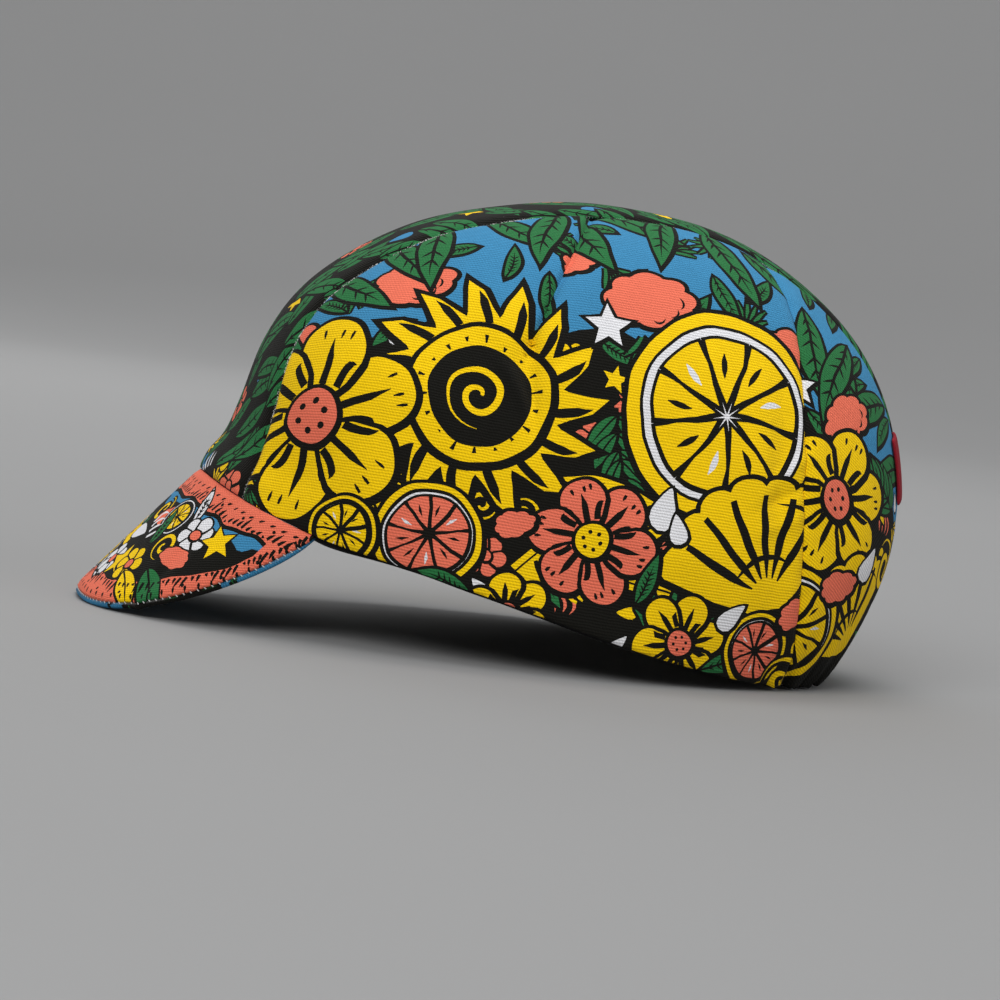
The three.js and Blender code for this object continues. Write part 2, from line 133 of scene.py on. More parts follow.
# Dents and swells: place, lift outwards, half length, half width, lean of the long way from upright
SOFT_DENTS = [
    Dent(-9, 86, -1.7, 12, 6, 12),
    Dent(-17, 94, 0.8, 13, 6, 25),
    Dent(3, 90, 0.8, 14, 7, -10),
    Dent(70, 62, -1.3, 27, 4, 2),
    Dent(62, 60, 0.7, 30, 5, 2),
    Dent(66, 22, -0.9, 16, 5, 20),
    Dent(-62, 52, -0.9, 14, 6, -35),
]

# Finer folds that only the cloth shows: pulls that run from the dart's point and from the seams
FINE_FOLDS = [
    Dent(-11.0, 80, 1.1, 9, 2.2, 28),
    Dent(-6.5, 77, -1.2, 10, 2.0, 8),
    Dent(-2.0, 81, 0.95, 8, 2.2, -26),
    Dent(-13.0, 88, -0.55, 8, 1.9, 62),
    Dent(1.5, 89, -0.5, 8, 1.9, -58),
    Dent(-8.4, 91, -1.7, 4.2, 3.0, 14),
    Dent(-14, 100, 0.7, 8, 4.5, 30),
    Dent(73, 66, 0.8, 8, 2.2, -48),
    Dent(72, 58, -0.9, 9, 2.0, -62),
    Dent(72, 50, 0.7, 8, 2.2, -70),
    Dent(74, 96, -0.5, 9, 2.4, 40),
    Dent(82, 62, 0.7, 9, 2.6, 36),
    Dent(84, 48, -0.7, 10, 2.6, 24),
    Dent(-78, 52, 0.8, 11, 3.2, -30),
    Dent(-70, 44, -0.8, 12, 3.2, -24),
    Dent(-50, 38, 0.55, 13, 3.8, -18),
    Dent(-84, 62, -0.5, 12, 3.4, -38),
    Dent(20, 24, -0.5, 22, 5.0, 84),
    Dent(34, 40, 0.55, 24, 6.0, 72),
    Dent(-30, 66, 0.5, 22, 6.0, 34),
    Dent(92, 60, -0.8, 18, 5.0, 12),
    Dent(100, 44, 0.7, 16, 4.0, 20),
]

DART_WEDGE = math.radians(9)
SEAM_DIP_DEPTH = 0.7
SEAM_DIP_WIDTH = 2.4
SEAM_GAP = 0.3
# Millimetres of cloth to a degree of turn, close to the strip's edge
TURN_LENGTH = 1.38
SEAM_TURN = SEAM_GAP / 2 / TURN_LENGTH
PANEL_WALL = 1.2
PEAK_TOP_WALL = 1.5
PEAK_UNDER_WALL = 1.2
BAND_GAP = 1.1
BAND_WALL = 1.2
PEAK_DIP = 50.0
PEAK_LENGTH = 52.2
PEAK_HALF_SPAN = 58.6
PEAK_FULLNESS = 3.2
PEAK_ENDS = 0.6
PEAK_SHORTEST = 1.6
PEAK_TUCK = 0.3
ELASTIC_FRONT = 62.0
ELASTIC_HEIGHT = 13.0
ELASTIC_DRAW = 1.5
ELASTIC_FOLD = 0.9
ELASTIC_SPACING = 11.0
PEAK_BULGE = 1.1
SOFT_WAVES = 0.3
STRIP_PUCKERS = 0.075
REAR_SEAM_PUCKERS = 0.09
RIM_PUCKERS = 0.08

# The twill: its slant on each piece in degrees, and its ribs' spacing in mm
SIDE_GRAIN = 5
REAR_GRAIN = 34
STRIP_GRAIN = 82
PEAK_GRAIN = 38
RIB_SPACING = 0.85
PEAK_RIB_SPACING = 0.75

# From the hub's frame to the one that the solids use
SHIFT_Y = 2.3


def hump(distance, reach):
    """A smooth bump: 1 in the middle, and hardly anything past twice its reach."""
    return np.exp(-((distance / reach) ** 2))


def table_curve(rows, key, column):
    """A smooth curve through the rows of a table."""
    at = np.array([getattr(row, key) for row in rows], float)
    value = np.array([getattr(row, column) for row in rows], float)
    count = np.arange(len(rows))
    before = np.maximum(count - 1, 0)
    after = np.minimum(count + 1, len(rows) - 1)
    slope = (value[after] - value[before]) / (at[after] - at[before])

    def curve(where):
        x = np.clip(where, at[0], at[-1])
        i = np.clip(np.searchsorted(at, x, "right") - 1, 0, len(rows) - 2)
        span = at[i + 1] - at[i]
        t = (x - at[i]) / span
        rise = t * t * (3 - 2 * t)
        return (
            value[i] + (value[i + 1] - value[i]) * rise
            + span * slope[i] * t * (1 - t) ** 2
            - span * slope[i + 1] * t * t * (1 - t)
        )

    return curve


reach_at = table_curve(CROWN_SECTIONS, "angle", "reach")
half_width_at = table_curve(CROWN_SECTIONS, "angle", "half_width")
fullness_at = table_curve(CROWN_SECTIONS, "angle", "fullness")
rim_height = table_curve(RIM, "y", "z")
strip_turn = table_curve(STRIP_EDGE, "angle", "turn")
rear_seam_y = table_curve(REAR_SEAM, "z", "y")


HALVINGS = 46


def crossing(low, high, is_past):
    """The value between low and high where is_past turns true, for one value or an array."""
    low = np.array(low, float)
    high = np.array(high, float)
    for _ in range(HALVINGS):
        middle = (low + high) / 2
        past = is_past(middle)
        high = np.where(past, middle, high)
        low = np.where(past, low, middle)
    return (low + high) / 2


def section_reach(angle, turn):
    """How far the crown lies from the hub's line, in a section and at a turn to the side."""
    t = np.radians(turn)
    return reach_at(angle) * np.cos(t) * (1 + fullness_at(angle) * np.sin(t) ** 2)


def smooth_crown(angle, turn):
    """A point of the crown without its folds, in mm."""
    reach = section_reach(angle, turn)
    a = np.radians(angle)
    x = half_width_at(angle) * np.sin(np.radians(turn))
    return np.stack([x, HUB_Y - reach * np.cos(a), HUB_Z + reach * np.sin(a)], -1)


def seen_from_side(y, z):
    """Section angle and turn of the crown point at y, z in the side view."""
    y, z = np.broadcast_arrays(np.asarray(y, float), np.asarray(z, float))
    angle = np.degrees(np.arctan2(z - HUB_Z, HUB_Y - y))
    reach = np.hypot(y - HUB_Y, z - HUB_Z)
    turn = crossing(np.zeros_like(reach), np.full_like(reach, 90), lambda t: section_reach(angle, t) < reach)
    return angle, turn


def to_pattern(angle, turn):
    """A spot of the crown as a point on a plane, with the side's middle at its origin."""
    a = np.radians(angle)
    return np.stack([-np.cos(a) * (90 - turn), np.sin(a) * (90 - turn)], -1)


def from_pattern(pattern):
    angle = np.degrees(np.arctan2(pattern[..., 1], -pattern[..., 0]))
    return angle, 90 - np.hypot(pattern[..., 0], pattern[..., 1])


def unit(vectors):
    return vectors / np.maximum(np.linalg.norm(vectors, axis=-1, keepdims=True), 1e-9)


def running_length(line):
    """The length from a line's start to each of its points."""
    return np.concatenate([[0], np.cumsum(np.linalg.norm(np.diff(line, axis=0), axis=1))])


def spots_at(line, lengths):
    """Points of a flat line at these lengths from its start."""
    length = running_length(line)
    return np.stack([np.interp(lengths, length, line[:, i]) for i in (0, 1)], -1)


def smooth_tangents(pattern):
    """How a spot moves with its point on the plane."""
    step = 0.05
    da, db = np.array([step, 0.0]), np.array([0.0, step])

    def place(shift):
        return smooth_crown(*from_pattern(pattern + shift))

    return (place(da) - place(-da)) / (2 * step), (place(db) - place(-db)) / (2 * step)


def smooth_normal(pattern):
    da, db = smooth_tangents(pattern)
    return unit(np.cross(da, db))


def dart_distance(rows, y, z):
    """Distance from the dart's line, less than nothing behind it, and the dart's depth there."""
    best = np.full(np.shape(y), 1e9)
    depth = np.zeros(np.shape(y))
    side = np.ones(np.shape(y))
    for start, end in zip(rows, rows[1:]):
        dy, dz = end.y - start.y, end.z - start.z
        share = np.clip(((y - start.y) * dy + (z - start.z) * dz) / (dy * dy + dz * dz), 0, 1)
        distance = np.hypot(y - start.y - share * dy, z - start.z - share * dz)
        nearer = distance < best
        depth = np.where(nearer, start.depth + (end.depth - start.depth) * share, depth)
        side = np.where(nearer, np.sign((y - start.y) * dz - (z - start.z) * dy), side)
        best = np.where(nearer, distance, best)
    return best * side, depth


def dent_lift(dents, y, z):
    """How far these dents and swells move the cloth outwards."""
    lift = 0
    for dent in dents:
        c, s = math.cos(math.radians(dent.lean)), math.sin(math.radians(dent.lean))
        along = (z - dent.z) * c - (y - dent.y) * s
        across = (y - dent.y) * c + (z - dent.z) * s
        lift = lift + dent.lift * hump(along, dent.along) * hump(across, dent.across)
    return lift


def cloth_lift(angle, turn, spot, fine):
    """How far the cloth stands out from the smooth crown. fine adds the small folds to the main ones."""
    x, y, z = np.abs(spot[..., 0]), spot[..., 1], spot[..., 2]
    above_rim = z - rim_height(y)
    off_strip = (turn - strip_turn(angle)) * TURN_LENGTH
    lift = -SEAM_DIP_DEPTH * hump(off_strip, SEAM_DIP_WIDTH)
    dart, dart_depth = dart_distance(DART, y, z)
    beside = -SEAM_DIP_DEPTH * hump(y - rear_seam_y(z), SEAM_DIP_WIDTH) - dart_depth * hump(dart, 3)
    beside = beside + dent_lift(SOFT_DENTS, y, z)
    if fine:
        crease = dart_distance(DART_CREASE, y, z)[0]
        beside = beside + dent_lift(FINE_FOLDS, y, z) - (0.55 + 0.75 * dart_depth) * hump(crease, 0.9)
        beside = beside + 0.5 * np.tanh(crease / 0.35) * hump(crease, 4.5)
    lift = lift + np.where(off_strip > 0, beside, 0)
    over_peak = 1 / (1 + np.exp((y + 60) / 5))
    lift = lift + PEAK_BULGE * over_peak * hump(above_rim - 7, 6)
    held = np.clip((y - ELASTIC_FRONT) / 20, 0, 1) * np.exp(-np.maximum(above_rim, 0) / ELASTIC_HEIGHT)
    phase = 2 * np.pi * (x - 0.55 * y) / ELASTIC_SPACING
    lift = lift + held * (ELASTIC_FOLD * np.sin(phase) - ELASTIC_DRAW)
    if fine:
        lift = lift + held * 0.34 * np.sin(2.3 * phase + 1.1) * hump(above_rim, 16)
        lift = lift + SOFT_WAVES * np.sin(y / 9.5 + z / 17 + 1.3) * np.sin(z / 12 - y / 31)
        along = y * np.cos(np.radians(angle)) - z * np.sin(np.radians(angle))
        pucker = np.sin(along / 1.05) + 0.6 * np.sin(along / 0.71 + 1.9)
        lift = lift + STRIP_PUCKERS * pucker * np.exp(-np.abs(off_strip) / 3.2)
        upright = np.sin(z / 1.2) + 0.7 * np.sin(z / 0.83 + 0.8)
        near_seam = np.exp(-np.abs(y - rear_seam_y(z)) / 3.6)
        lift = lift + REAR_SEAM_PUCKERS * upright * near_seam * (off_strip > 0)
        lift = lift + RIM_PUCKERS * np.sin(y / 1.3 + x / 2) * np.exp(-np.abs(above_rim) / 3.4)
    return lift


def band_lift(spot):
    """How the elastic draws the sweatband in."""
    above_rim = np.maximum(spot[..., 2] - rim_height(spot[..., 1]), 0)
    held = np.clip((spot[..., 1] - ELASTIC_FRONT) / 20, 0, 1) * np.exp(-above_rim / ELASTIC_HEIGHT)
    return -held * (ELASTIC_DRAW + 0.7 * ELASTIC_FOLD)


def crown_point(angle, turn, depth, lift=0.0, fine=True):
    """Points of the crown, in mm, depth inwards from its outer face."""
    spot = smooth_crown(angle, turn)
    out = cloth_lift(angle, turn, spot, fine) + lift - depth
    return spot + smooth_normal(to_pattern(angle, turn)) * out[..., None]


def on_crown(y):
    """Whether the rim's line is still under the crown here."""
    z = rim_height(y)
    return np.hypot(y - HUB_Y, z - HUB_Z) < reach_at(np.degrees(np.arctan2(z - HUB_Z, HUB_Y - y)))


def rim_spot(y):
    return seen_from_side(y, rim_height(y))


def past_strip(angle, turn):
    """Whether a spot lies beside the strip, past its seam."""
    return turn > strip_turn(angle) + SEAM_TURN


RIM_FRONT = float(crossing(-96, -80, on_crown))
RIM_BACK = float(crossing(95, 112, lambda y: ~on_crown(y)))
FRONT_CORNER = float(crossing(RIM_FRONT, -60, lambda y: past_strip(*rim_spot(y))))
BACK_CORNER = float(crossing(80, RIM_BACK, lambda y: ~past_strip(*rim_spot(y))))


def rear_seam_ends(shift):
    """Heights of the upper and the lower end of a line beside the rear seam."""
    top = crossing(100, 129, lambda z: ~past_strip(*seen_from_side(rear_seam_y(z) + shift, z)))
    foot = crossing(0, 20, lambda z: rim_height(rear_seam_y(z) + shift) < z)
    return float(top), float(foot)


# Lengths along the sections, so that a panel can be drawn flat in millimetres
FLAT_ANGLES = np.arange(10.0, 196.0)
FLAT_TURNS = np.arange(0, 90.25, 0.5)
FLAT_LENGTHS = np.arange(0, 200.0)


def section_lengths():
    """Length of each section from the centreline to each turn."""
    angles, turns = np.meshgrid(FLAT_ANGLES, FLAT_TURNS, indexing="ij")
    spots = smooth_crown(angles, turns)
    steps = np.linalg.norm(np.diff(spots, axis=1), axis=2)
    return np.concatenate([np.zeros((len(steps), 1)), np.cumsum(steps, axis=1)], axis=1)


FROM_CENTRE = section_lengths()
TURN_BY_LENGTH = np.stack([np.interp(FLAT_LENGTHS, row, FLAT_TURNS) for row in FROM_CENTRE])


def look_up(table, row, column):
    """A value between the cells of a table."""
    row = np.clip(row, 0, table.shape[0] - 1.001)
    column = np.clip(column, 0, table.shape[1] - 1.001)
    i, j = row.astype(int), column.astype(int)
    f, g = row - i, column - j
    near = table[i, j] * (1 - g) + table[i, j + 1] * g
    far = table[i + 1, j] * (1 - g) + table[i + 1, j + 1] * g
    return near * (1 - f) + far * f


def centre_length(angle, turn):
    """Length of the section from the centreline to a spot."""
    return look_up(FROM_CENTRE, np.asarray(angle - FLAT_ANGLES[0]), np.asarray(turn / 0.5))


def side_flat(angle, turn):
    """Place of a spot in the side's flat drawing, in mm from the side's middle."""
    length = centre_length(angle, np.full_like(np.asarray(angle, float), 90)) - centre_length(angle, turn)
    a = np.radians(angle)
    return np.stack([-np.cos(a) * length, np.sin(a) * length], -1)


def side_spot(flat):
    """Section angle and turn of a place in the side's flat drawing."""
    angle = np.degrees(np.arctan2(flat[..., 1], -flat[..., 0]))
    whole = centre_length(angle, np.full_like(angle, 90))
    length = whole - np.hypot(flat[..., 0], flat[..., 1])
    return angle, look_up(TURN_BY_LENGTH, angle - FLAT_ANGLES[0], length)


CENTRELINE = smooth_crown(FLAT_ANGLES, np.zeros_like(FLAT_ANGLES))
CENTRELINE_LENGTH = running_length(CENTRELINE)


def strip_flat(angle, turn):
    """Place of a spot in the strip's flat drawing: across, and along from the front."""
    across = np.sign(turn) * centre_length(angle, np.abs(turn))
    return np.stack([across, np.interp(angle, FLAT_ANGLES, CENTRELINE_LENGTH)], -1)


def strip_spot(flat):
    """Section angle and turn of a place in the strip's flat drawing."""
    angle = np.interp(flat[..., 1], CENTRELINE_LENGTH, FLAT_ANGLES)
    turn = look_up(TURN_BY_LENGTH, angle - FLAT_ANGLES[0], np.abs(flat[..., 0]))
    return angle, turn * np.sign(flat[..., 0])


# The dart's fine crease is straight on the flat drawing, so that the print can meet along it
_dart_ends = np.array([[DART[i].y, DART[i].z] for i in (0, -1)])
DART_FLAT = np.linspace(*side_flat(*seen_from_side(*_dart_ends.T)), 7)
DART_CREASE = [DartSpot(spot[1], spot[2], 1.0) for spot in smooth_crown(*side_spot(DART_FLAT))]

# The peak is bent one way only, so it can be drawn flat without stretching.
PEAK_WAY = np.array([0, -math.cos(math.radians(PEAK_DIP)), -math.sin(math.radians(PEAK_DIP))])


def peak_seam_line():
    """Where the peak meets the crown, by shares of the peak's half width."""
    shares = np.linspace(0, 1, 181)
    x = shares * PEAK_HALF_SPAN
    y = crossing(
        np.full_like(x, RIM_FRONT), np.full_like(x, -30.0),
        lambda where: smooth_crown(*rim_spot(where))[..., 0] > x,
    )
    angle, turn = rim_spot(y)
    near = crown_point(angle, turn, 0.0, fine=False)
    near[0, 0] = 0
    far = near[:0:-1] * np.array([-1, 1, 1])
    return np.concatenate([-shares[:0:-1], shares]), np.concatenate([far, near])


PEAK_SHARES, PEAK_SEAM = peak_seam_line()
PEAK_NORMALS = unit(np.cross(PEAK_WAY, np.gradient(PEAK_SEAM, axis=0)))
PEAK_ACROSS = running_length(PEAK_SEAM - (PEAK_SEAM @ PEAK_WAY)[:, None] * PEAK_WAY)
PEAK_ACROSS -= np.interp(0, PEAK_SHARES, PEAK_ACROSS)
PEAK_START = PEAK_SEAM @ PEAK_WAY


def peak_length(share):
    """How far the peak reaches out from the crown, at a share of its half width."""
    fall = np.maximum(1 - np.abs(share) ** PEAK_FULLNESS, 0) ** PEAK_ENDS
    return PEAK_SHORTEST + (PEAK_LENGTH - PEAK_SHORTEST) * fall


def peak_point(flat, depth, lift=0.0):
    """A point of the peak from its place in the flat drawing: x across, y down from the crown."""
    across = np.clip(flat[..., 0], PEAK_ACROSS[0], PEAK_ACROSS[-1])

    def at(table):
        return np.stack([np.interp(across, PEAK_ACROSS, column) for column in table.T], -1)

    start = np.interp(across, PEAK_ACROSS, PEAK_START)
    out = lift - PEAK_TUCK - depth
    point = at(PEAK_SEAM) + PEAK_WAY * (-flat[..., 1] - start)[..., None]
    point = point + unit(at(PEAK_NORMALS)) * np.broadcast_to(out, flat.shape[:-1])[..., None]
    point[..., 2] = np.maximum(point[..., 2], 0)
    return point


def peak_outline():
    """The peak's edge in its flat drawing, with the seam first and then the free edge."""
    share = np.sin(np.linspace(-1, 1, 121) * math.pi / 2 * 0.94) / math.sin(math.pi / 2 * 0.94)
    across = np.interp(share, PEAK_SHARES, PEAK_ACROSS)
    start = np.interp(share, PEAK_SHARES, PEAK_START)
    seam = np.stack([across, -(start + SEAM_GAP)], -1)
    free = np.stack([across, -(start + peak_length(share))], -1)
    return seam, free[::-1]


def arc(x, y, r, start, end, count):
    a = np.radians(np.linspace(start, end, count))
    return np.stack([x + r * np.cos(a), y + r * np.sin(a)], 1)


def turned(points, x, y, turn, flip=1):
    """Points turned about the origin and moved to x, y."""
    c, s = math.cos(math.radians(turn)), math.sin(math.radians(turn))
    px, py = points[:, 0] * flip, points[:, 1]
    return np.stack([x + px * c - py * s, y + px * s + py * c], 1)


def bezier(a, b, c, d, count=24):
    t = np.linspace(0, 1, count)[:, None]
    a, b, c, d = (np.array(p, float) for p in (a, b, c, d))
    return a * (1 - t) ** 3 + 3 * b * t * (1 - t) ** 2 + 3 * c * t * t * (1 - t) + d * t ** 3


def signed_area(points):
    x, y = points[:, 0], points[:, 1]
    return 0.5 * float(np.sum(x * np.roll(y, -1) - np.roll(x, -1) * y))


def grown(points, by):
    """A closed outline moved outwards, with its sharp corners cut short."""
    if signed_area(points) < 0:
        points = points[::-1]
    before = unit(points - np.roll(points, 1, 0))
    way = unit(before + unit(np.roll(points, -1, 0) - points))
    normal = np.stack([way[:, 1], -way[:, 0]], 1)
    flat = np.clip(np.abs((before * way).sum(1)), 0.45, 1)
    return points + normal * (by / flat)[:, None]


def sideways(path):
    """The ways along a line and to its left, at each of its points."""
    way = unit(np.gradient(path, axis=0))
    return way, np.stack([-way[:, 1], way[:, 0]], 1)


def resampled(line, step):
    """A line with points at even steps, its ends kept."""
    whole = running_length(line)[-1]
    return spots_at(line, np.linspace(0, whole, max(int(whole / step), 2) + 1))


def divided(points, longest):
    """A closed line with its long sides divided, so that it can follow the cloth."""
    ends = np.roll(points, -1, 0)
    counts = np.maximum(np.ceil(np.linalg.norm(ends - points, axis=1) / longest), 1).astype(int)
    if counts.max() == 1:
        return points
    return np.concatenate([a + (b - a) * np.arange(n)[:, None] / n for a, b, n in zip(points, ends, counts)])


class DartFold:
    """The wedge of print that a sewn dart hides, turned in about the dart's point."""

    FULL = 2 * math.pi

    def __init__(self, line, wedge):
        self.line = line
        self.tip = line[-1]
        self.way = math.atan2(line[0, 1] - self.tip[1], line[0, 0] - self.tip[0])
        self.wedge = wedge

    def polar(self, points):
        gap = points - self.tip
        angle = np.arctan2(gap[..., 1], gap[..., 0]) - self.way
        return np.hypot(gap[..., 0], gap[..., 1]), angle % self.FULL

    def place(self, radius, angle):
        return self.tip + np.stack([radius * np.cos(angle + self.way), radius * np.sin(angle + self.way)], -1)

    def closed(self, points):
        """Where points of the flat print lie once the dart is sewn."""
        radius, angle = self.polar(points)
        angle = (angle - self.wedge / 2) * self.FULL / (self.FULL - self.wedge)
        kept = np.clip(angle, 0, self.FULL)
        outside = kept == angle
        return self.place(np.where(outside, radius, np.round(radius * 2) / 2), np.where(outside, angle, 0))

    def opened(self, points, centres):
        """Where sewn points lie on the flat print, on the side of the dart on which their centres are."""
        radius, angle = self.polar(points)
        angle = angle + self.FULL * np.round((self.polar(centres)[1] - angle) / self.FULL)
        return self.place(radius, self.wedge / 2 + angle * (self.FULL - self.wedge) / self.FULL)


class Print:
    """Inked shapes on one piece of cloth, in mm on its flat drawing. Later shapes lie on top."""

    # A brush's slow and quick wavering, its line's thicker side, and the longest straight side, in mm
    WAVER = 0.4
    TREMBLE = 0.12
    THICKER_SIDE = np.array([0.14, -0.26])
    LONGEST_SIDE = 3.5

    def __init__(self, ground, line=1.0):
        self.ground = ground
        self.line = line
        self.shapes = []
        self.kept_clear = []
        self.dart = None

    def add(self, points, ink):
        points = divided(np.asarray(points, float), self.LONGEST_SIDE)
        x, y = points[:, 0], points[:, 1]
        dx = self.WAVER * np.sin(0.21 * y + 0.08 * x) + self.TREMBLE * np.sin(0.63 * y - 0.2 * x)
        dy = self.WAVER * np.sin(0.19 * x - 0.1 * y) + self.TREMBLE * np.sin(0.59 * x + 0.23 * y)
        self.shapes.append((points + np.stack([dx, dy], 1), ink))

    def area(self, points, ink, line=1.0):
        """A filled shape with a black brush line round it, thicker on its lower side."""
        points = np.asarray(points, float)
        if line:
            self.add(grown(points, line * self.line) + self.THICKER_SIDE * line * self.line, "black")
        self.add(points, ink)

    def stroke(self, path, width, ink="black", tips=(0.15, 0.15), line=0.0):
        """A brush line. tips are the widths of its two ends, as shares of its width."""
        path = np.asarray(path, float)
        if len(path) == 3 and np.linalg.norm(path[2] - path[0]) > 5:
            t = np.linspace(0, 1, 7)[:, None]
            path = path[0] * (1 - t) * (1 - 2 * t) + path[1] * 4 * t * (1 - t) + path[2] * t * (2 * t - 1)
        side = sideways(path)[1]
        t = np.linspace(0, 1, len(path))
        swell = np.minimum(tips[0] + (1 - tips[0]) * t / 0.35, tips[1] + (1 - tips[1]) * (1 - t) / 0.35)
        half = (width / 2 * np.minimum(1, swell))[:, None]
        if line:
            wide = half + line * self.line
            self.add(np.concatenate([path + side * wide, (path - side * wide)[::-1]]), "black")
        self.add(np.concatenate([path + side * half, (path - side * half)[::-1]]), ink)

    def dot(self, x, y, r, ink, line=0.0, count=12):
        self.area(arc(x, y, r, 0, 360 - 360 / count, count), ink, line)

    def sewn(self, dart):
        """The print as it lies once the dart is closed."""
        self.shapes = [(dart.closed(points), ink) for points, ink in self.shapes]
        self.dart = dart
        return self

    def clear_of(self, x, y, room):
        return all(math.hypot(x - cx, y - cy) > r + room for cx, cy, r in self.kept_clear)


# Motifs. Each is drawn on the print p at x, y, with its size in mm and its turn in degrees.
def bloom(p, x, y, size, turn, ink="yellow", second="coral", petals=6):
    detailed = size > 9
    for k in range(petals):
        way = turn + 360 * k / petals
        a = np.linspace(-1, 1, 23 if detailed else 13)
        half = np.radians(a * 180 / petals * 1.12)
        reach = size * (0.42 + 0.58 * np.cos(a * math.pi / 2) ** 0.42)
        petal = np.stack([reach * np.cos(half), reach * np.sin(half)], 1)
        p.area(turned(np.concatenate([[[size * 0.08, 0]], petal]), x, y, way), ink)
        for shift, length in ((0, 0.78), (-9, 0.55), (10, 0.6)) if detailed else ():
            lean = shift * size
            vein = [[size * 0.3, lean / 60], [size * 0.5, lean / 42], [size * length, lean / 30]]
            p.stroke(turned(np.array(vein), x, y, way), 1.0 + size * 0.045, tips=(1, 0.1))
        for shift in (-0.17, -0.07, 0.12) if size > 16 else ():
            tick = np.array([[0.78, shift], [0.83, shift * 1.05], [0.88, shift * 1.1]]) * size
            p.stroke(turned(tick, x, y, way), 1.0, tips=(0.3, 0.8))
    p.dot(x, y, size * 0.26, second, 0.9, 30 if detailed else 12)
    for k in range(6 if detailed else 0):
        a = math.radians(turn + 60 * k)
        p.dot(x + size * 0.14 * math.cos(a), y + size * 0.14 * math.sin(a), size * 0.035, "black", 0, 7)


def citrus(p, x, y, size, turn, ink="yellow", second="yellow", wedges=9):
    p.area(arc(x, y, size, 0, 355, 72), ink)
    p.add(arc(x, y, size * 0.86 + 0.5, 0, 355, 60), "black")
    p.add(arc(x, y, size * 0.86 - 0.5, 0, 355, 60), "white")
    half = 180 / wedges - 3.2
    lean = math.tan(math.radians(half)) * size * 0.54
    rim = arc(0, 0, size * 0.74, -half, half, 7)
    wedge = np.concatenate([[[size * 0.12, 0], [size * 0.5, -lean]], rim, [[size * 0.5, lean]]])
    for k in range(wedges):
        way = turn + 360 * k / wedges
        p.area(turned(wedge, x, y, way), second, 0.7)
        mark = np.array([[size * 0.36, size * 0.02], [size * 0.48, size * 0.03], [size * 0.6, size * 0.02]])
        p.stroke(turned(mark, x, y, way), size * 0.06, "black" if k % 3 else "white")


def sunburst(p, x, y, size, turn, ink="yellow", second="coral", rays=15):
    step = 360 / rays
    points = []
    for k in range(rays):
        for share, reach in ((0.0, 0.66), (0.22, 0.74), (0.5, 0.9), (0.8, 1.02), (0.86, 0.86), (0.93, 0.7)):
            a = math.radians(turn + step * (k + share))
            points.append((x + size * reach * math.cos(a), y + size * reach * math.sin(a)))
    p.area(points, ink)
    for k in range(rays):
        b = [math.radians(turn + step * (k + share)) for share in (0.3, 0.42, 0.6)]
        reach = [size * r for r in (0.6, 0.74, 0.9)]
        ray = [[x + r * math.cos(a), y + r * math.sin(a)] for r, a in zip(reach, b)]
        p.stroke(ray, size * 0.075, tips=(0.9, 0.05))
    p.area(arc(x, y, size * 0.56, 0, 355, 60), ink, 1.1)
    p.area(arc(x, y, size * 0.37, 0, 355, 48), second, 0.9)
    for k in range(18):
        b = math.radians(turn + 20 * k)
        reach = size * (0.42 + 0.012 * (k % 3)), size * (0.5 - 0.014 * (k % 4))
        p.stroke([[x + r * math.cos(b), y + r * math.sin(b)] for r in reach], size * 0.035, tips=(0.4, 1))
    t = np.linspace(0, 1, 48)
    b, reach = np.radians(turn + 620 * t), size * (0.03 + 0.25 * t)
    line = "yellow" if second == "black" else "black"
    p.stroke(np.stack([x + reach * np.cos(b), y + reach * np.sin(b)], 1), size * 0.055, line, tips=(0.5, 0.1))


def leaf(p, x, y, size, turn, ink="green", bend=0.2, broad=0.3, veins=5, line=0.9):
    count = 17 if size > 16 else 11
    t = np.linspace(0, 1, count)
    spine = np.stack([size * t, size * bend * t * t], 1)
    way, side = sideways(spine)
    half = (size * broad * 0.5 * np.sin(math.pi * t ** 0.85) ** 0.9)[:, None]
    edge = np.concatenate([spine + side * half, (spine - side * half)[::-1][1:-1]])
    p.area(turned(edge, x, y, turn), ink, line)
    p.stroke(turned(spine[:-2:2], x, y, turn), max(size * 0.036, 0.6), tips=(1, 0.1))
    for k in range(veins):
        i = 2 + int(round(k * (count - 6) / max(veins, 1)))
        for sign in (1, -1):
            tip = spine[i] + way[i] * size * 0.09 + side[i] * half[i] * 0.72 * sign
            path = np.array([spine[i], (spine[i] + tip) / 2, tip])
            p.stroke(turned(path, x, y, turn), max(size * 0.024, 0.45), tips=(1, 0.15))


def frond(p, x, y, size, turn, ink="green", bend=0.3, pairs=7):
    t = np.linspace(0, 1, 16)
    spine = np.stack([size * t, size * bend * t * t], 1)
    way = sideways(spine)[0]
    heading = turn + np.degrees(np.arctan2(way[:, 1], way[:, 0]))
    world = turned(spine, x, y, turn)
    p.stroke(world, 1.4, tips=(1, 0.4))
    for k in range(pairs):
        f = 0.12 + 0.8 * k / pairs
        i = int(f * 15)
        reach = size * 0.34 * (1 - 0.55 * f)
        for sign in (1, -1):
            away = heading[i] + sign * (52 - 18 * f)
            leaf(p, *world[i], reach, away, ink, bend=-0.18 * sign, broad=0.36, veins=0, line=0.6)
    leaf(p, *world[-1], size * 0.17, heading[-1], ink, bend=0, broad=0.4, veins=0, line=0.6)


def blades(p, x, y, size, turn, ink="green", spread=70, count=6):
    t = np.linspace(0, 1, 8)
    for k in range(count):
        f = k / (count - 1) - 0.5
        reach = size * (1 - 0.9 * f * f) * (0.86 + 0.14 * ((k * 37) % 5) / 4)
        path = np.stack([reach * t, -reach * f * 0.5 * t * t], 1)
        p.stroke(turned(path, x, y, turn - spread * f), size * 0.1, ink, tips=(0.7, 0.05), line=0.7)


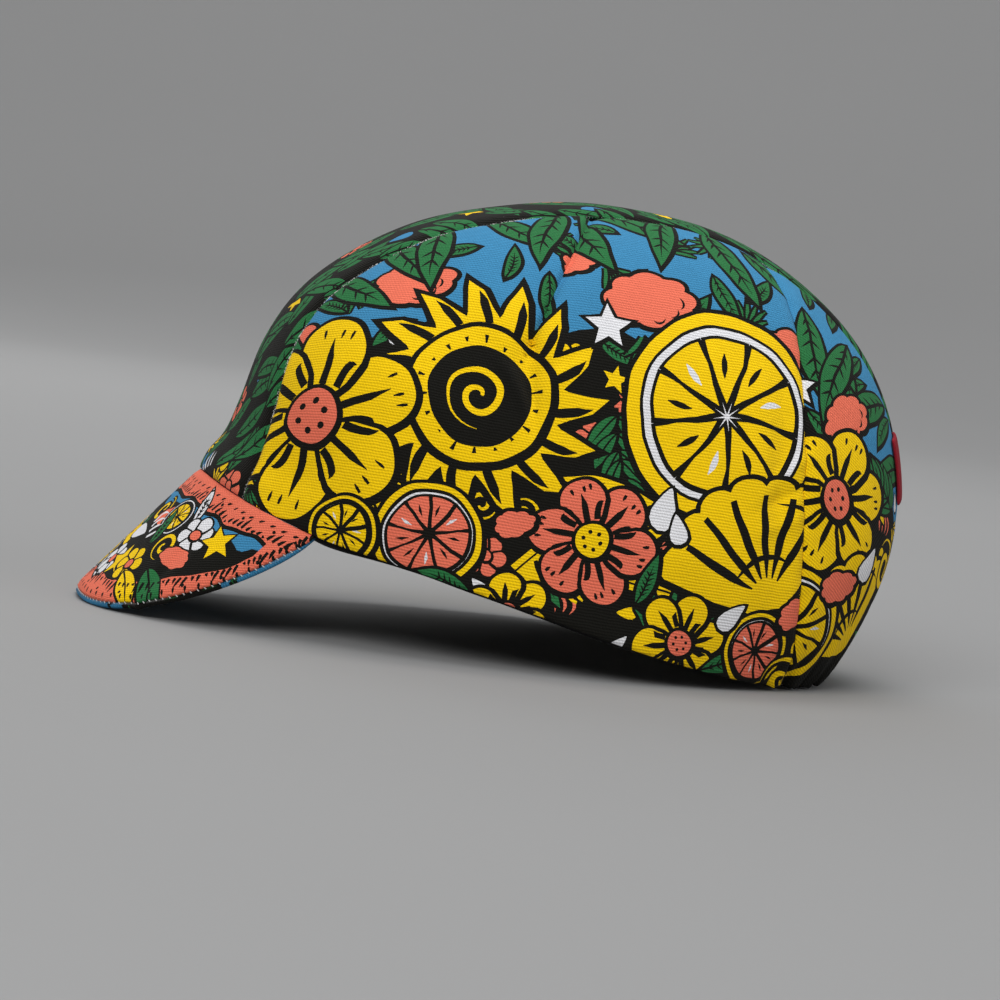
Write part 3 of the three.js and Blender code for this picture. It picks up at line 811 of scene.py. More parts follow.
def puff(p, x, y, size, turn, ink="coral", long=0.62, lobes=8):
    a = np.radians(np.arange(0, 360, 360 / (lobes * (9 if size > 9 else 5))))
    lump = 0.84 + 0.16 * np.abs(np.sin(a * lobes / 2 + turn)) ** 0.55 + 0.05 * np.sin(3 * a + turn * 2)
    p.area(turned(np.stack([size * lump * np.cos(a), size * long * lump * np.sin(a)], 1), x, y, turn), ink)
    for b in (-84, -48, -12) if size > 8 else ():
        cx, cy = size * 0.56 * math.cos(math.radians(b)), size * long * 0.56 * math.sin(math.radians(b))
        p.stroke(turned(arc(cx, cy, size * 0.15, b - 62, b + 62, 8), x, y, turn), 0.75)


def star(p, x, y, size, turn, ink="yellow", points=5, inner=0.45):
    a = np.radians(turn + np.arange(points * 2) * 180 / points)
    reach = np.where(np.arange(points * 2) % 2 == 0, size, size * inner)
    p.area(np.stack([x + reach * np.cos(a), y + reach * np.sin(a)], 1), ink, 0.8)


def shell(p, x, y, size, turn, ink="yellow", ribs=7):
    a = np.radians(np.linspace(-68, 68, ribs * 8 + 1))
    scallop = size * (0.93 + 0.07 * np.abs(np.sin(np.linspace(0, math.pi * ribs, ribs * 8 + 1))) ** 0.6)
    fan = np.stack([scallop * np.cos(a), scallop * np.sin(a)], 1)
    foot = [[-size * 0.12, size * 0.14], [-size * 0.12, -size * 0.14]]
    p.area(turned(np.concatenate([foot, fan]), x, y, turn), ink)
    for k in range(1, ribs):
        b = math.radians(-68 + 136 * k / ribs)
        rib = np.outer([0.16, 0.5, 0.86], [size * math.cos(b), size * math.sin(b)])
        p.stroke(turned(rib, x, y, turn), size * 0.075, tips=(0.2, 0.7))
    p.stroke(turned(arc(0, 0, size * 0.34, -55, 55, 15), x, y, turn), size * 0.05)
    p.stroke(turned(arc(0, 0, size * 0.8, -60, -20, 9), x, y, turn), size * 0.04)


def curl(p, x, y, size, turn, ink="yellow", rounds=1.4, flip=1):
    t = np.linspace(0, 1, 44)
    a = np.radians(360 * rounds * t)
    reach = size * (0.16 + 0.84 * t ** 0.85)
    path = turned(np.stack([reach * np.cos(a), reach * np.sin(a)], 1), x, y, turn, flip)
    p.stroke(path, size * 0.26, ink, tips=(0.5, 0.08), line=0.9)


def drop(p, x, y, size, turn, ink="white"):
    t = np.linspace(0, 2 * math.pi, 15)[:-1]
    points = np.stack([size * 0.5 * np.cos(t), size * 0.26 * np.sin(t) * (1 - 0.6 * np.cos(t))], 1)
    p.area(turned(points, x, y, turn), ink, 0.7)


def dashes(p, x, y, size, turn, ink="yellow", count=4):
    for k in range(count):
        length = size * (0.6 + 0.4 * ((k * 29) % 7) / 6)
        path = np.array([[0, 1], [length * 0.5, 1.0 + length * 0.05], [length, 1]]) * [1, k * size * 0.28]
        p.stroke(turned(path, x, y, turn), size * 0.13, ink, tips=(1, 0.1))


def ribbon(p, path, width, ink="yellow", bars=8):
    p.stroke(path, width, ink, tips=(1, 1), line=1.0)
    way, side = sideways(path)
    for sign in (1, -1):
        p.stroke(path + side * width * 0.33 * sign, 0.6, tips=(1, 1))
    for k in range(bars):
        i = int((k + 0.5) / bars * (len(path) - 1))
        across = [path[i] + side[i] * width * 0.2 + way[i], path[i], path[i] - side[i] * width * 0.2 - way[i]]
        p.stroke(np.array(across), 1.6, tips=(0.7, 0.7))


def scatter(p, box, spacing, kinds, seed):
    """Small motifs all over a box, where no large motif keeps the place."""
    rng = np.random.default_rng(seed)
    x0, y0, x1, y1 = box
    rows = int((y1 - y0) / spacing) + 1
    columns = int((x1 - x0) / spacing) + 1
    for r in range(rows):
        for c in range(columns):
            jitter = rng.uniform(-0.34, 0.34, 2) * spacing
            x = x0 + (c + 0.5 * (r % 2)) * spacing + jitter[0]
            y = y0 + r * spacing + jitter[1]
            kind, size, ink = kinds[int(rng.integers(len(kinds)))]
            turn = float(rng.uniform(0, 360))
            if p.clear_of(x, y, -size * 0.2):
                kind(p, x, y, size, turn, ink)


# What is printed where: large motifs on the side and rear panels, in the order in which they are laid
Motif = namedtuple("Motif", "draw x y size turn ink second", defaults=[None])


def alike(draw, ink, *spots):
    """Motifs of one kind and ink, each with its place, size and turn."""
    return [Motif(draw, *spot, ink) for spot in spots]


SIDE_LEFT_LAYOUT = [
    *alike(
        puff, "coral", (-88, 104, 15, 30), (-50, 127, 13, 10), (24, 126, 15, 5), (74, 112, 14, -20),
        (2, 140, 8, 0),
    ),
    *alike(frond, "green", (-92, 58, 32, 60), (12, 92, 40, -88)),
    *alike(blades, "green", (30, 20, 24, 70), (-60, 42, 22, 120)),
    *alike(
        leaf, "green", (-96, 118, 26, -64), (-82, 138, 32, -50), (-62, 152, 30, -66),
        (-44, 160, 34, -102), (-30, 164, 28, -54), (-6, 169, 32, -114), (2, 170, 36, -82),
        (14, 170, 32, -48), (40, 168, 30, -122), (52, 162, 34, -88), (64, 154, 30, -58),
        (84, 142, 30, -112),
    ),
    *alike(leaf, "yellow", (-40, 52, 34, 164), (-4, 70, 30, -20), (34, 66, 26, -150), (90, 78, 34, 150)),
    Motif(sunburst, -27, 92, 36, 8, "yellow", "black"),
    Motif(bloom, -76, 82, 32, 20, "yellow", "coral"),
    Motif(citrus, 46, 92, 31, 10, "yellow", "yellow"),
    Motif(shell, 62, 40, 35, 106, "yellow"),
    Motif(bloom, 8, 53, 18, 50, "coral", "yellow"),
    Motif(citrus, -38, 50, 15, 30, "yellow", "coral"),
    Motif(bloom, 36, 26, 14, 10, "yellow", "coral"),
    Motif(bloom, -14, 30, 12, 40, "yellow", "coral"),
    Motif(citrus, -62, 48, 10, 0, "yellow", "yellow"),
    Motif(leaf, 44, 18, 20, 10, "green"),
    Motif(citrus, 62, 24, 11, 20, "yellow", "coral"),
    Motif(bloom, 86, 26, 10, 10, "yellow", "coral"),
    Motif(curl, 75, 15, 8, 40, "yellow"),
    Motif(drop, 52, 34, 10, 40, "white"),
    Motif(puff, 74, 36, 7, 20, "coral"),
    *alike(leaf, "green", (-24, 34, 16, 150), (22, 36, 15, 60)),
    *alike(puff, "coral", (88, 50, 8, 70), (-14, 56, 6, 20)),
    Motif(star, 10, 116, 7, 20, "white"),
    *alike(drop, "white", (84, 66, 12, 40), (28, 64, 13, 70), (32, 58, 9, 100)),
]

SIDE_RIGHT_LAYOUT = [
    *alike(puff, "coral", (-80, 116, 15, 14), (-34, 134, 11, 40), (18, 130, 14, -8), (74, 114, 14, 16)),
    *alike(frond, "green", (-84, 54, 34, 30), (68, 26, 38, 110)),
    Motif(blades, -4, 28, 24, 100, "green"),
    *alike(
        leaf, "green", (-92, 124, 28, -60), (-72, 146, 32, -76), (-50, 158, 30, -44),
        (-22, 168, 34, -96), (-8, 170, 30, -60), (12, 170, 36, -104), (24, 170, 32, -70),
        (48, 164, 32, -110), (62, 156, 32, -64), (86, 140, 28, -100),
    ),
    *alike(leaf, "yellow", (18, 52, 34, 176), (86, 66, 30, 160), (-36, 56, 28, 190)),
    Motif(citrus, -62, 90, 32, 22, "yellow", "yellow"),
    Motif(shell, -12, 62, 36, 84, "yellow"),
    Motif(sunburst, 47, 86, 36, 20, "yellow", "coral"),
    Motif(bloom, 13, 110, 17, 10, "coral", "yellow"),
    Motif(bloom, 30, 38, 22, 44, "yellow", "coral"),
    Motif(curl, -48, 46, 14, 10, "yellow"),
    Motif(citrus, 72, 42, 16, 0, "yellow", "coral"),
    Motif(bloom, -70, 50, 12, 0, "coral", "yellow"),
    Motif(puff, 4, 24, 9, 30, "coral"),
    Motif(star, -22, 120, 7, 10, "white"),
    *alike(drop, "white", (68, 62, 12, 110), (8, 84, 12, 60)),
]

REAR_LAYOUT = [
    *alike(
        leaf, "green", (58, 144, 32, -70), (78, 136, 32, -96), (96, 128, 34, -130),
        (114, 112, 32, -160), (128, 92, 30, 190),
    ),
    Motif(puff, 90, 100, 11, 30, "coral"),
    Motif(frond, 118, 74, 36, 140, "green"),
    Motif(leaf, 72, 54, 26, 30, "yellow"),
    Motif(bloom, 86, 74, 22, 12, "yellow", "coral"),
    Motif(shell, 106, 32, 28, 130, "yellow"),
    Motif(citrus, 76, 34, 18, 0, "yellow", "yellow"),
    Motif(curl, 120, 58, 9, 0, "yellow"),
    Motif(puff, 92, 48, 8, 10, "coral"),
    Motif(star, 72, 108, 6, 16, "white"),
    Motif(drop, 104, 56, 12, 60, "white"),
]


FINE_LINE = 1.4
BROAD_LINE = 1.9


def lay_out(p, layout):
    for m in layout:
        large = m.draw in (bloom, citrus, sunburst, shell)
        p.kept_clear.append((m.x, m.y, m.size * (0.8 if large else 0.1)))
    return p


def draw_layout(p, layout):
    for m in layout:
        p.line = FINE_LINE if m.ink in ("green", "coral") or m.size < 16 else BROAD_LINE
        m.draw(p, m.x, m.y, m.size, m.turn, m.ink, *([m.second] if m.second else []))


# Small motifs between them: which, size and ink
SMALL_ON_BLACK = [
    (blades, 12, "green"), (blades, 9, "yellow"), (dashes, 7, "yellow"), (bloom, 6, "coral"),
    (drop, 6, "yellow"), (star, 4.2, "yellow"), (leaf, 13, "green"), (bloom, 6, "yellow"),
    (leaf, 13, "yellow"), (drop, 6, "white"), (curl, 4.4, "yellow"), (dashes, 7, "coral"),
]
SMALL_ON_BLUE = [(leaf, 14, "green"), (blades, 12, "green"), (leaf, 17, "green"), (leaf, 15, "green")]


def side_print(layout, ribbons, seed):
    p = lay_out(Print("black", 1.2), layout)
    sky = [(-135, 108), (-104, 102), (-84, 112), (-60, 106), (-34, 118)]
    sky += [(-12, 110), (12, 116), (34, 106), (56, 112)]
    sky = np.array(sky + [(74, 98), (96, 92), (120, 180), (-135, 190), (-135, 108)], float)
    p.add(resampled(sky, 3)[:-1], "blue")
    scatter(p, (-100, 114, 96, 168), 17, SMALL_ON_BLUE, seed)
    p.line = 0.8
    scatter(p, (-106, 12, 94, 106), 11.5, SMALL_ON_BLACK, seed + 1)
    p.line = 1.3
    for path in ribbons:
        ribbon(p, bezier(*path, 40), 12, "yellow")
    draw_layout(p, layout)
    return p.sewn(DartFold(DART_FLAT, DART_WEDGE))


def rear_print(seed):
    p = lay_out(Print("black", 0.8), REAR_LAYOUT)
    p.add([(40, 112), (70, 104), (92, 92), (112, 84), (134, 60), (150, 120), (60, 180)], "blue")
    scatter(p, (56, 8, 132, 84), 10.5, SMALL_ON_BLACK, seed)
    p.line = 1.3
    scatter(p, (56, 96, 132, 150), 16, SMALL_ON_BLUE, seed)
    draw_layout(p, REAR_LAYOUT)
    return p


STRIP_SPOTS = [
    (puff, 6.5, "coral"), (drop, 8, "blue"), (star, 5, "yellow"), (bloom, 6, "coral"), (drop, 7, "white"),
]
STRIP_FRONT = [
    (bloom, 6, "coral"), (blades, 11, "yellow"), (puff, 6, "blue"), (dashes, 8, "white"), (drop, 7, "yellow"),
]


def strip_print(seed):
    """Long leaves that lean away from the middle, with a few spots of other inks between them."""
    p = Print("black", 0.9)
    rng = np.random.default_rng(seed)
    for i in range(16):
        draw, size, ink = STRIP_FRONT[i % 5]
        x, y = -36 + 9.6 * (i % 8), 32 + 10 * (i // 8) + 3 * math.sin(i * 2.4)
        draw(p, x, y, size, 90 + 60 * math.sin(i), ink)
    for r in range(31):
        y = 46 + 12 * r
        draw, size, ink = STRIP_SPOTS[(r * 3) % 5]
        draw(p, (((r * 7) % 5) - 2) * 8, y + 3, size, 37 * r, ink)
        for side in (-1, 1):
            for x in (3, 14, 26):
                jitter = rng.uniform(-1, 1, 4)
                turn = 90 - side * (40 - x) + 30 * jitter[2]
                place = side * x + 3 * jitter[0], y + 5 * jitter[1] - 8
                leaf(p, *place, 20 + 4 * jitter[3], turn, bend=0.24 * jitter[0], broad=0.29, veins=3)
    return p


SMALL_ON_PEAK = [
    (bloom, 4.6, "white"), (drop, 8, "yellow"), (leaf, 9, "green"), (citrus, 4.6, "white"),
    (star, 4.4, "yellow"), (drop, 8, "white"), (curl, 3.6, "yellow"), (leaf, 9, "white"),
    (bloom, 4.4, "yellow"), (dashes, 6, "white"), (puff, 4.4, "coral"),
]


def peak_print():
    """A coral border with ink hatches round a black field, with a blue wave and small motifs in it."""
    seam, free = peak_outline()
    p = Print("coral", 0.8)
    t = np.linspace(-1, 1, 61)
    x_line = t * 60
    seam_y = np.interp(x_line, seam[:, 0], seam[:, 1])
    free_y = np.interp(x_line, free[::-1, 0], free[::-1, 1])
    wave = np.sin(t * 23) + 0.5 * np.sin(t * 41 + 1)
    top, foot = seam_y - 8.2 + 0.5 * wave, free_y + 9.2 - 0.4 * wave
    wide = top > foot + 1

    def field(upper, lower):
        return np.concatenate([
            np.stack([x_line, upper], 1)[wide], np.stack([x_line, lower], 1)[wide][::-1],
        ])

    p.add(field(top, foot), "black")
    p.add(field(top - 1.4, np.maximum(top - 7 - 1.5 * np.sin(t * 17), foot + 1.2)), "blue")
    p.add(field(np.minimum(top - 4.4 - 2.2 * wave, top - 3.0), foot + 1.2), "black")
    for row, count in enumerate((13, 11, 7)):
        for k in range(count):
            draw, size, ink = SMALL_ON_PEAK[(4 * k + 3 * row) % len(SMALL_ON_PEAK)]
            x = (k - (count - 1) / 2) * 7.6 + 1.1 * math.sin(2.7 * k + row)
            y = -45 - 9.5 * row + abs(x) * (0.14 - 0.03 * row) + 1.4 * math.sin(k * 2.1 + row)
            draw(p, x, y, size * 1.4, 47 * k + 80 * row, ink)
    for side in (-1, 1):
        leaf(p, side * 33, -58, 21, 90 - side * 118, "green", bend=-0.2 * side, broad=0.42, veins=0)
        leaf(p, side * 24, -63.5, 17, 90 - side * 108, "yellow", bend=-0.2 * side, broad=0.42, veins=0)
    border_hatches(p, seam, -1, 7.6)
    border_hatches(p, free, 1, 8.6)
    return p


def border_hatches(p, line, inwards, start):
    """Ink hatches on the inner side of the border, with short marks and dots outside them."""
    for k, (x, y) in enumerate(spots_at(line, np.arange(3, running_length(line)[-1] - 3, 2.0))):
        reach = 2.2 + 1.4 * math.sin(k * 0.9) + 1.0 * math.sin(k * 2.3)
        hatch = [(0, start), (0.4, start - reach / 2), (1.0, start - reach)]
        p.stroke([[x + dx, y + inwards * dy] for dx, dy in hatch], 1.0, tips=(1, 0.2))
        if k % 2 == 0:
            mark = [(-0.5, 3.6), (0, 3.1), (0.8, 2.4)]
            p.stroke([[x + dx, y + inwards * dy] for dx, dy in mark], 0.9, tips=(0.6, 0.3))
        elif k % 3 == 0:
            p.dot(x, y + inwards * 4.6, 0.6, "black", 0, 7)


def under_print(seed):
    """Blue in front, with black and green along the sides."""
    p = Print("blue", 0.8)
    free = peak_outline()[1]
    small = [
        (leaf, 14, "green"), (blades, 11, "green"), (dashes, 7, "black"), (puff, 5, "coral"),
        (star, 4, "yellow"),
    ]
    scatter(p, (-56, -62, 56, -16), 13, small, seed)
    for side in (-1, 1):
        edge = free[(free[:, 0] * side > 30) & (free[:, 0] * side < 64)]
        p.stroke(edge[::3] + [-1.6 * side, 1.6], 7, "black", tips=(0.1, 0.1))
        for k, (x, y) in enumerate(edge[::5]):
            leaf(p, x, y, 9, 90 + side * (30 + 50 * (k % 2)), "green", veins=0)
    return p


# The yellow ribbons of the side panels, each by the four points of a curve
LEFT_RIBBONS = [((-112, 58), (-84, 88), (-62, 24), (-26, 56)), ((-10, 40), (12, 66), (28, 22), (94, 56))]
RIGHT_RIBBONS = [((-108, 66), (-80, 40), (-40, 74), (-4, 44)), ((10, 58), (34, 40), (60, 76), (96, 52))]


def inside(points, polygon):
    """Which points lie inside a closed outline, also where it crosses itself."""
    x, y = points[:, 0:1], points[:, 1:2]
    ax, ay = polygon[:, 0], polygon[:, 1]
    bx, by = np.roll(ax, -1), np.roll(ay, -1)
    left = (bx - ax) * (y - ay) - (x - ax) * (by - ay)
    up = (ay <= y) & (by > y) & (left > 0)
    down = (ay > y) & (by <= y) & (left < 0)
    return (up.sum(1) - down.sum(1)) != 0


class EdgeLine:
    """A line on a flat drawing that tells how far points lie from it, exactly where they are close."""

    CELL = 2.0

    def __init__(self, points):
        self.points = points
        self.low = points.min(0) - 3 * self.CELL
        self.size = np.ceil((points.max(0) - self.low) / self.CELL).astype(int) + 3
        x, y = np.meshgrid(np.arange(self.size[0]), np.arange(self.size[1]), indexing="ij")
        cells = self.low + (np.stack([x, y], -1).reshape(-1, 2) + 0.5) * self.CELL
        self.nearest = np.concatenate([
            ((block[:, None] - points) ** 2).sum(2).argmin(1) for block in np.array_split(cells, 20)
        ])

    def distance(self, flat):
        cell = np.clip(((flat - self.low) / self.CELL).astype(int), 0, self.size - 1)
        first = self.nearest[cell[:, 0] * self.size[1] + cell[:, 1]]
        best = np.full(len(flat), 1e9)
        for shift in range(-4, 4):
            i = np.clip(first + shift, 0, len(self.points) - 2)
            start, way = self.points[i], self.points[i + 1] - self.points[i]
            gap = flat - start
            share = np.clip((gap * way).sum(1) / np.maximum((way * way).sum(1), 1e-9), 0, 1)
            gap = gap - share[:, None] * way
            best = np.minimum(best, (gap * gap).sum(1))
        return np.sqrt(best)


def even_grid(outline, edge, step, room):
    """Points in even rows inside the outline, with room to its edge."""
    low, high = outline.min(0), outline.max(0)
    columns, rows = np.arange(low[0], high[0], step), np.arange(low[1], high[1], step * 0.866)
    x, y = np.meshgrid(columns, rows)
    x[1::2] += step / 2
    points = np.stack([x.ravel(), y.ravel()], 1)
    points = points[inside(points, outline)]
    return points[edge.distance(points) > room]


def edge_rows(outline, edge, offsets):
    """Points in rows just inside the outline, where the cloth bends over at its edge."""
    way = unit(np.roll(outline, -1, 0) - np.roll(outline, 1, 0))
    inwards = np.stack([-way[:, 1], way[:, 0]], 1)
    rows = []
    for offset in offsets:
        points = outline + inwards * offset
        points = points[inside(points, outline)]
        rows.append(points[edge.distance(points) > offset * 0.9])
    return np.concatenate(rows)


def triangulated(outline, loose, lines):
    """Triangles inside an outline, with the closed lines among their edges."""
    verts, edges = [], []
    low, high = outline.min(0) - 1, outline.max(0) + 1
    for line in [outline] + lines:
        if (line.max(0) < low).any() or (line.min(0) > high).any():
            continue
        start = len(verts)
        verts.extend(line.tolist())
        edges.extend((start + i, start + (i + 1) % len(line)) for i in range(len(line)))
    verts.extend(loose.tolist())
    found, _, faces, *_ = delaunay_2d_cdt([Vector(v) for v in verts], edges, [], 0, 1e-4, False)
    points = np.array([tuple(v) for v in found])
    triangles = np.array(faces)
    centres = points[triangles].mean(1)
    triangles = triangles[inside(centres, outline)]
    used = np.unique(triangles)
    number = np.zeros(len(points), int)
    number[used] = np.arange(len(used))
    return points[used], number[triangles]


def counterclockwise(points, triangles):
    a, b, c = (points[triangles[:, i]] for i in range(3))
    area = (b[:, 0] - a[:, 0]) * (c[:, 1] - a[:, 1]) - (c[:, 0] - a[:, 0]) * (b[:, 1] - a[:, 1])
    return triangles if area.sum() > 0 else triangles[:, ::-1]


def inks_at(points, cloth_print):
    """The name of the ink at each point: the last shape that covers it."""
    names = list(INKS)
    ink = np.full(len(points), names.index(cloth_print.ground))
    order = np.argsort(points[:, 0])
    sorted_x = points[order, 0]
    for shape, name in cloth_print.shapes:
        low, high = shape.min(0), shape.max(0)
        first, last = np.searchsorted(sorted_x, [low[0], high[0]])
        near = order[first:last]
        near = near[(points[near, 1] > low[1]) & (points[near, 1] < high[1])]
        if len(near):
            ink[near[inside(points[near], shape)]] = names.index(name)
    return ink


def boundary_loop(triangles):
    """The corners round a sheet of triangles, in order."""
    edges = np.concatenate([triangles[:, [0, 1]], triangles[:, [1, 2]], triangles[:, [2, 0]]])
    count = triangles.max() + 1
    lone = edges[~np.isin(edges[:, 0] * count + edges[:, 1], edges[:, 1] * count + edges[:, 0])]
    following, longest = dict(lone.tolist()), []
    while following:
        loop, corner = [], next(iter(following))
        while corner in following:
            loop.append(corner)
            corner = following.pop(corner)
        longest = max(longest, loop, key=len)
    return np.array(longest)


def flat_normals(surface, flat):
    """Normals of a surface over its flat drawing."""
    step = 0.2
    dx, dy = np.array([step, 0.0]), np.array([0.0, step])
    return unit(np.cross(surface(flat + dx) - surface(flat - dx), surface(flat + dy) - surface(flat - dy)))


# Places of the cloth's points in mm: rows along the edge, the room between them and the even ones,
# and the even ones' step and room on the inside
EDGE_ROWS = (0.35, 0.8, 1.5, 2.4)
EDGE_ROOM = 3.0
BACK_STEP = 4.0
BACK_ROOM = 1.5
FAR_FROM_SEAMS = 50.0


@dataclass
class Cloth:
    """One cut piece of cloth: its flat drawing, where it lies on the cap, and its print."""

    name: str
    outline: np.ndarray
    outer: object
    inner: object
    design: Print
    wear_lines: list
    grain: float
    mesh_step: float
    roll: float = 0.12
    hem: float = 0.0

    def __post_init__(self):
        if signed_area(self.outline) < 0:
            self.outline = self.outline[::-1]

    def build(self, mirrored=False):
        edge = EdgeLine(np.concatenate([self.outline, self.outline[:1]]))
        rows = edge_rows(self.outline, edge, EDGE_ROWS)
        loose = np.concatenate([rows, even_grid(self.outline, edge, self.mesh_step, EDGE_ROOM)])
        lines = [points for points, ink in self.design.shapes]
        back_loose = even_grid(self.outline, edge, BACK_STEP, BACK_ROOM)
        dart = self.design.dart
        if dart:
            crease = dart.place(np.arange(0, np.linalg.norm(dart.line[0] - dart.tip), 0.5), 0)
            lines.append(np.concatenate([crease, crease[-2:0:-1]]))
            side = sideways(crease)[1]
            beside = [crease[::2] + side[::2] * off for off in (-1.6, -1, -0.5, 0.5, 1, 1.6)]
            behind = [crease[2::4] + side[2::4] * off for off in (-2, -0.8, 0.8, 2)]
            loose, back_loose = np.concatenate([loose] + beside), np.concatenate([back_loose] + behind)
        flat, faces = triangulated(self.outline, loose, lines)
        faces = counterclockwise(flat, faces)
        ink = inks_at(flat[faces].mean(1), self.design)
        loop = boundary_loop(faces)
        rim = flat[loop]
        # The inside is a plainer sheet on the same edge.
        back_flat, back_faces = triangulated(rim, back_loose, [])
        back_faces = counterclockwise(back_flat, back_faces)
        back_loop = boundary_loop(back_faces)
        nearest = [int(((back_flat[back_loop] - point) ** 2).sum(1).argmin()) for point in rim]
        back_rim = back_loop[nearest]

        outer, outer_normals = self.outer(flat), flat_normals(self.outer, flat)
        inner, inner_normals = self.inner(back_flat), -flat_normals(self.inner, back_flat)
        middle = (outer[loop] + inner[back_rim]) / 2
        way = unit(np.roll(outer[loop], -1, 0) - np.roll(outer[loop], 1, 0))
        away = unit(np.cross(way, outer_normals[loop]))
        middle = middle + away * self.roll
        middle[:, 2] = np.maximum(middle[:, 2], 0)
        outer_normals[loop] = unit(outer_normals[loop] + away)
        inner_normals[back_rim] = unit(inner_normals[back_rim] + away)

        first_back, first_middle = len(flat), len(flat) + len(back_flat)
        verts = np.concatenate([outer, inner, middle])
        normals = np.concatenate([outer_normals, inner_normals, away])
        places = np.concatenate([flat, back_flat, rim])
        count = len(loop)
        a, b = loop, np.roll(loop, -1)
        m = first_middle + np.arange(count)
        n = np.roll(m, -1)
        c, d = first_back + back_rim, first_back + np.roll(back_rim, -1)
        wall = np.concatenate([np.stack(t, 1) for t in ((b, a, m), (b, m, n), (n, m, c), (n, c, d))])
        wall = wall[(wall[:, 0] != wall[:, 1]) & (wall[:, 1] != wall[:, 2]) & (wall[:, 0] != wall[:, 2])]
        triangles = np.concatenate([faces, back_faces[:, ::-1] + first_back, wall])
        turned_under = edge.distance(back_flat) < self.hem
        colours = self.corner_colours(ink, back_flat, back_faces, turned_under, places[wall].mean(1))
        if mirrored:
            verts, normals = verts * [-1, 1, 1], normals * [-1, 1, 1]
            triangles, colours = triangles[:, ::-1], colours[:, ::-1]
        far = np.full(len(places), FAR_FROM_SEAMS)
        seam = np.min([far] + [line.distance(places) for line in self.wear_lines], axis=0)
        spots = places[triangles]
        if dart:
            spots = dart.opened(spots, np.repeat(spots.mean(1)[:, None], 3, 1))
        uv = turned(spots.reshape(-1, 2), 0, 0, -self.grain)
        return new_mesh_object(self.name, verts, triangles, normals, uv, colours, seam)

    def corner_colours(self, ink, back_flat, back_faces, turned_under, wall_middles):
        palette = np.array([tuple(getattr(bpy.context.scene.cap_inks, name)) for name in INKS])
        bare = np.array(tuple(bpy.context.scene.cap_inks.bare_cloth))
        front = np.repeat(palette[ink][:, None], 3, 1)
        show = bpy.context.scene.cap_sizes.show_through
        share = np.where(turned_under, 1.0, show)[:, None]
        reverse = palette[inks_at(back_flat, self.design)] * share + bare * (1 - share)
        back = reverse[back_faces[:, ::-1]]
        edge = palette[inks_at(wall_middles, self.design)]
        return np.concatenate([front, back, np.repeat(edge[:, None], 3, 1)])


def new_mesh_object(name, verts, triangles, normals=None, uv=None, colours=None, seam=None):
    """A mesh object from arrays in mm, moved to the frame that the solids use, in metres."""
    mesh = bpy.data.meshes.new(name)
    placed = (np.asarray(verts) + [0, SHIFT_Y, 0]) / 1000
    faces = [tuple(int(i) for i in face) for face in triangles]
    mesh.from_pydata(placed.tolist(), [], faces)
    corners = np.concatenate(faces)
    if uv is not None:
        layer = mesh.uv_layers.new(name="cloth")
        at_corners = uv if len(uv) == len(corners) else uv[corners]
        layer.data.foreach_set("uv", at_corners.astype(np.float32).ravel())
    if colours is not None:
        attribute = mesh.color_attributes.new("print", "FLOAT_COLOR", "CORNER")
        rgba = np.concatenate([colours.reshape(-1, 3), np.ones((len(corners), 1))], 1)
        attribute.data.foreach_set("color", rgba.astype(np.float32).ravel())
    if seam is not None:
        attribute = mesh.attributes.new("seam", "FLOAT", "POINT")
        attribute.data.foreach_set("value", seam.astype(np.float32))
    mesh.polygons.foreach_set("use_smooth", [True] * len(mesh.polygons))
    mesh.update()
    if normals is not None:
        mesh.normals_split_custom_set_from_vertices(normals.tolist())
    obj = bpy.data.objects.new(name, mesh)
    bpy.context.scene.collection.objects.link(obj)
    return obj


def add_node(tree, kind, values=None, **settings):
    """A node with its settings, and each input given as a value or linked to a socket."""
    made = tree.nodes.new(kind)
    for key, value in settings.items():
        setattr(made, key, value)
    for key, value in (values or {}).items():
        if isinstance(value, bpy.types.NodeSocket):
            tree.links.new(value, made.inputs[key])
        else:
            made.inputs[key].default_value = value
    return made


def math_node(tree, operation, first, second=0.0, clamp=False):
    node = add_node(tree, "ShaderNodeMath", {0: first, 1: second}, operation=operation, use_clamp=clamp)
    return node.outputs[0]


def times(tree, first, second):
    return math_node(tree, "MULTIPLY", first, second)


def plus(tree, first, second):
    return math_node(tree, "ADD", first, second)


def noise(tree, vector, scale, detail, roughness=0.5):
    """The value of a noise pattern."""
    settings = {"Vector": vector, "Scale": scale, "Detail": detail, "Roughness": roughness}
    return add_node(tree, "ShaderNodeTexNoise", settings).outputs[0]


def mapped(tree, value, from_min, from_max, to_min, to_max):
    """A value moved from one range to another, and held inside it."""
    ranges = {"From Min": from_min, "From Max": from_max, "To Min": to_min, "To Max": to_max}
    return add_node(tree, "ShaderNodeMapRange", {"Value": value, **ranges}).outputs[0]


def mixed_colour(tree, share, first, second):
    values = {"Factor": share, "A": first, "B": second}
    return add_node(tree, "ShaderNodeMix", values, data_type="RGBA").outputs["Result"]


FLOAT = "NodeSocketFloat"
VECTOR = "NodeSocketVector"
COLOUR = "NodeSocketColor"


def effect_group(name, inputs, outputs):
    """An empty node group with named inputs and outputs, or the one made before."""
    if name in bpy.data.node_groups:
        return bpy.data.node_groups[name], None, None
    group = bpy.data.node_groups.new(name, "ShaderNodeTree")
    for label, kind, default in inputs:
        socket = group.interface.new_socket(name=label, in_out="INPUT", socket_type=kind)
        if default is not None:
            socket.default_value = default
    for label, kind in outputs:
        group.interface.new_socket(name=label, in_out="OUTPUT", socket_type=kind)
    return group, group.nodes.new("NodeGroupInput"), group.nodes.new("NodeGroupOutput")


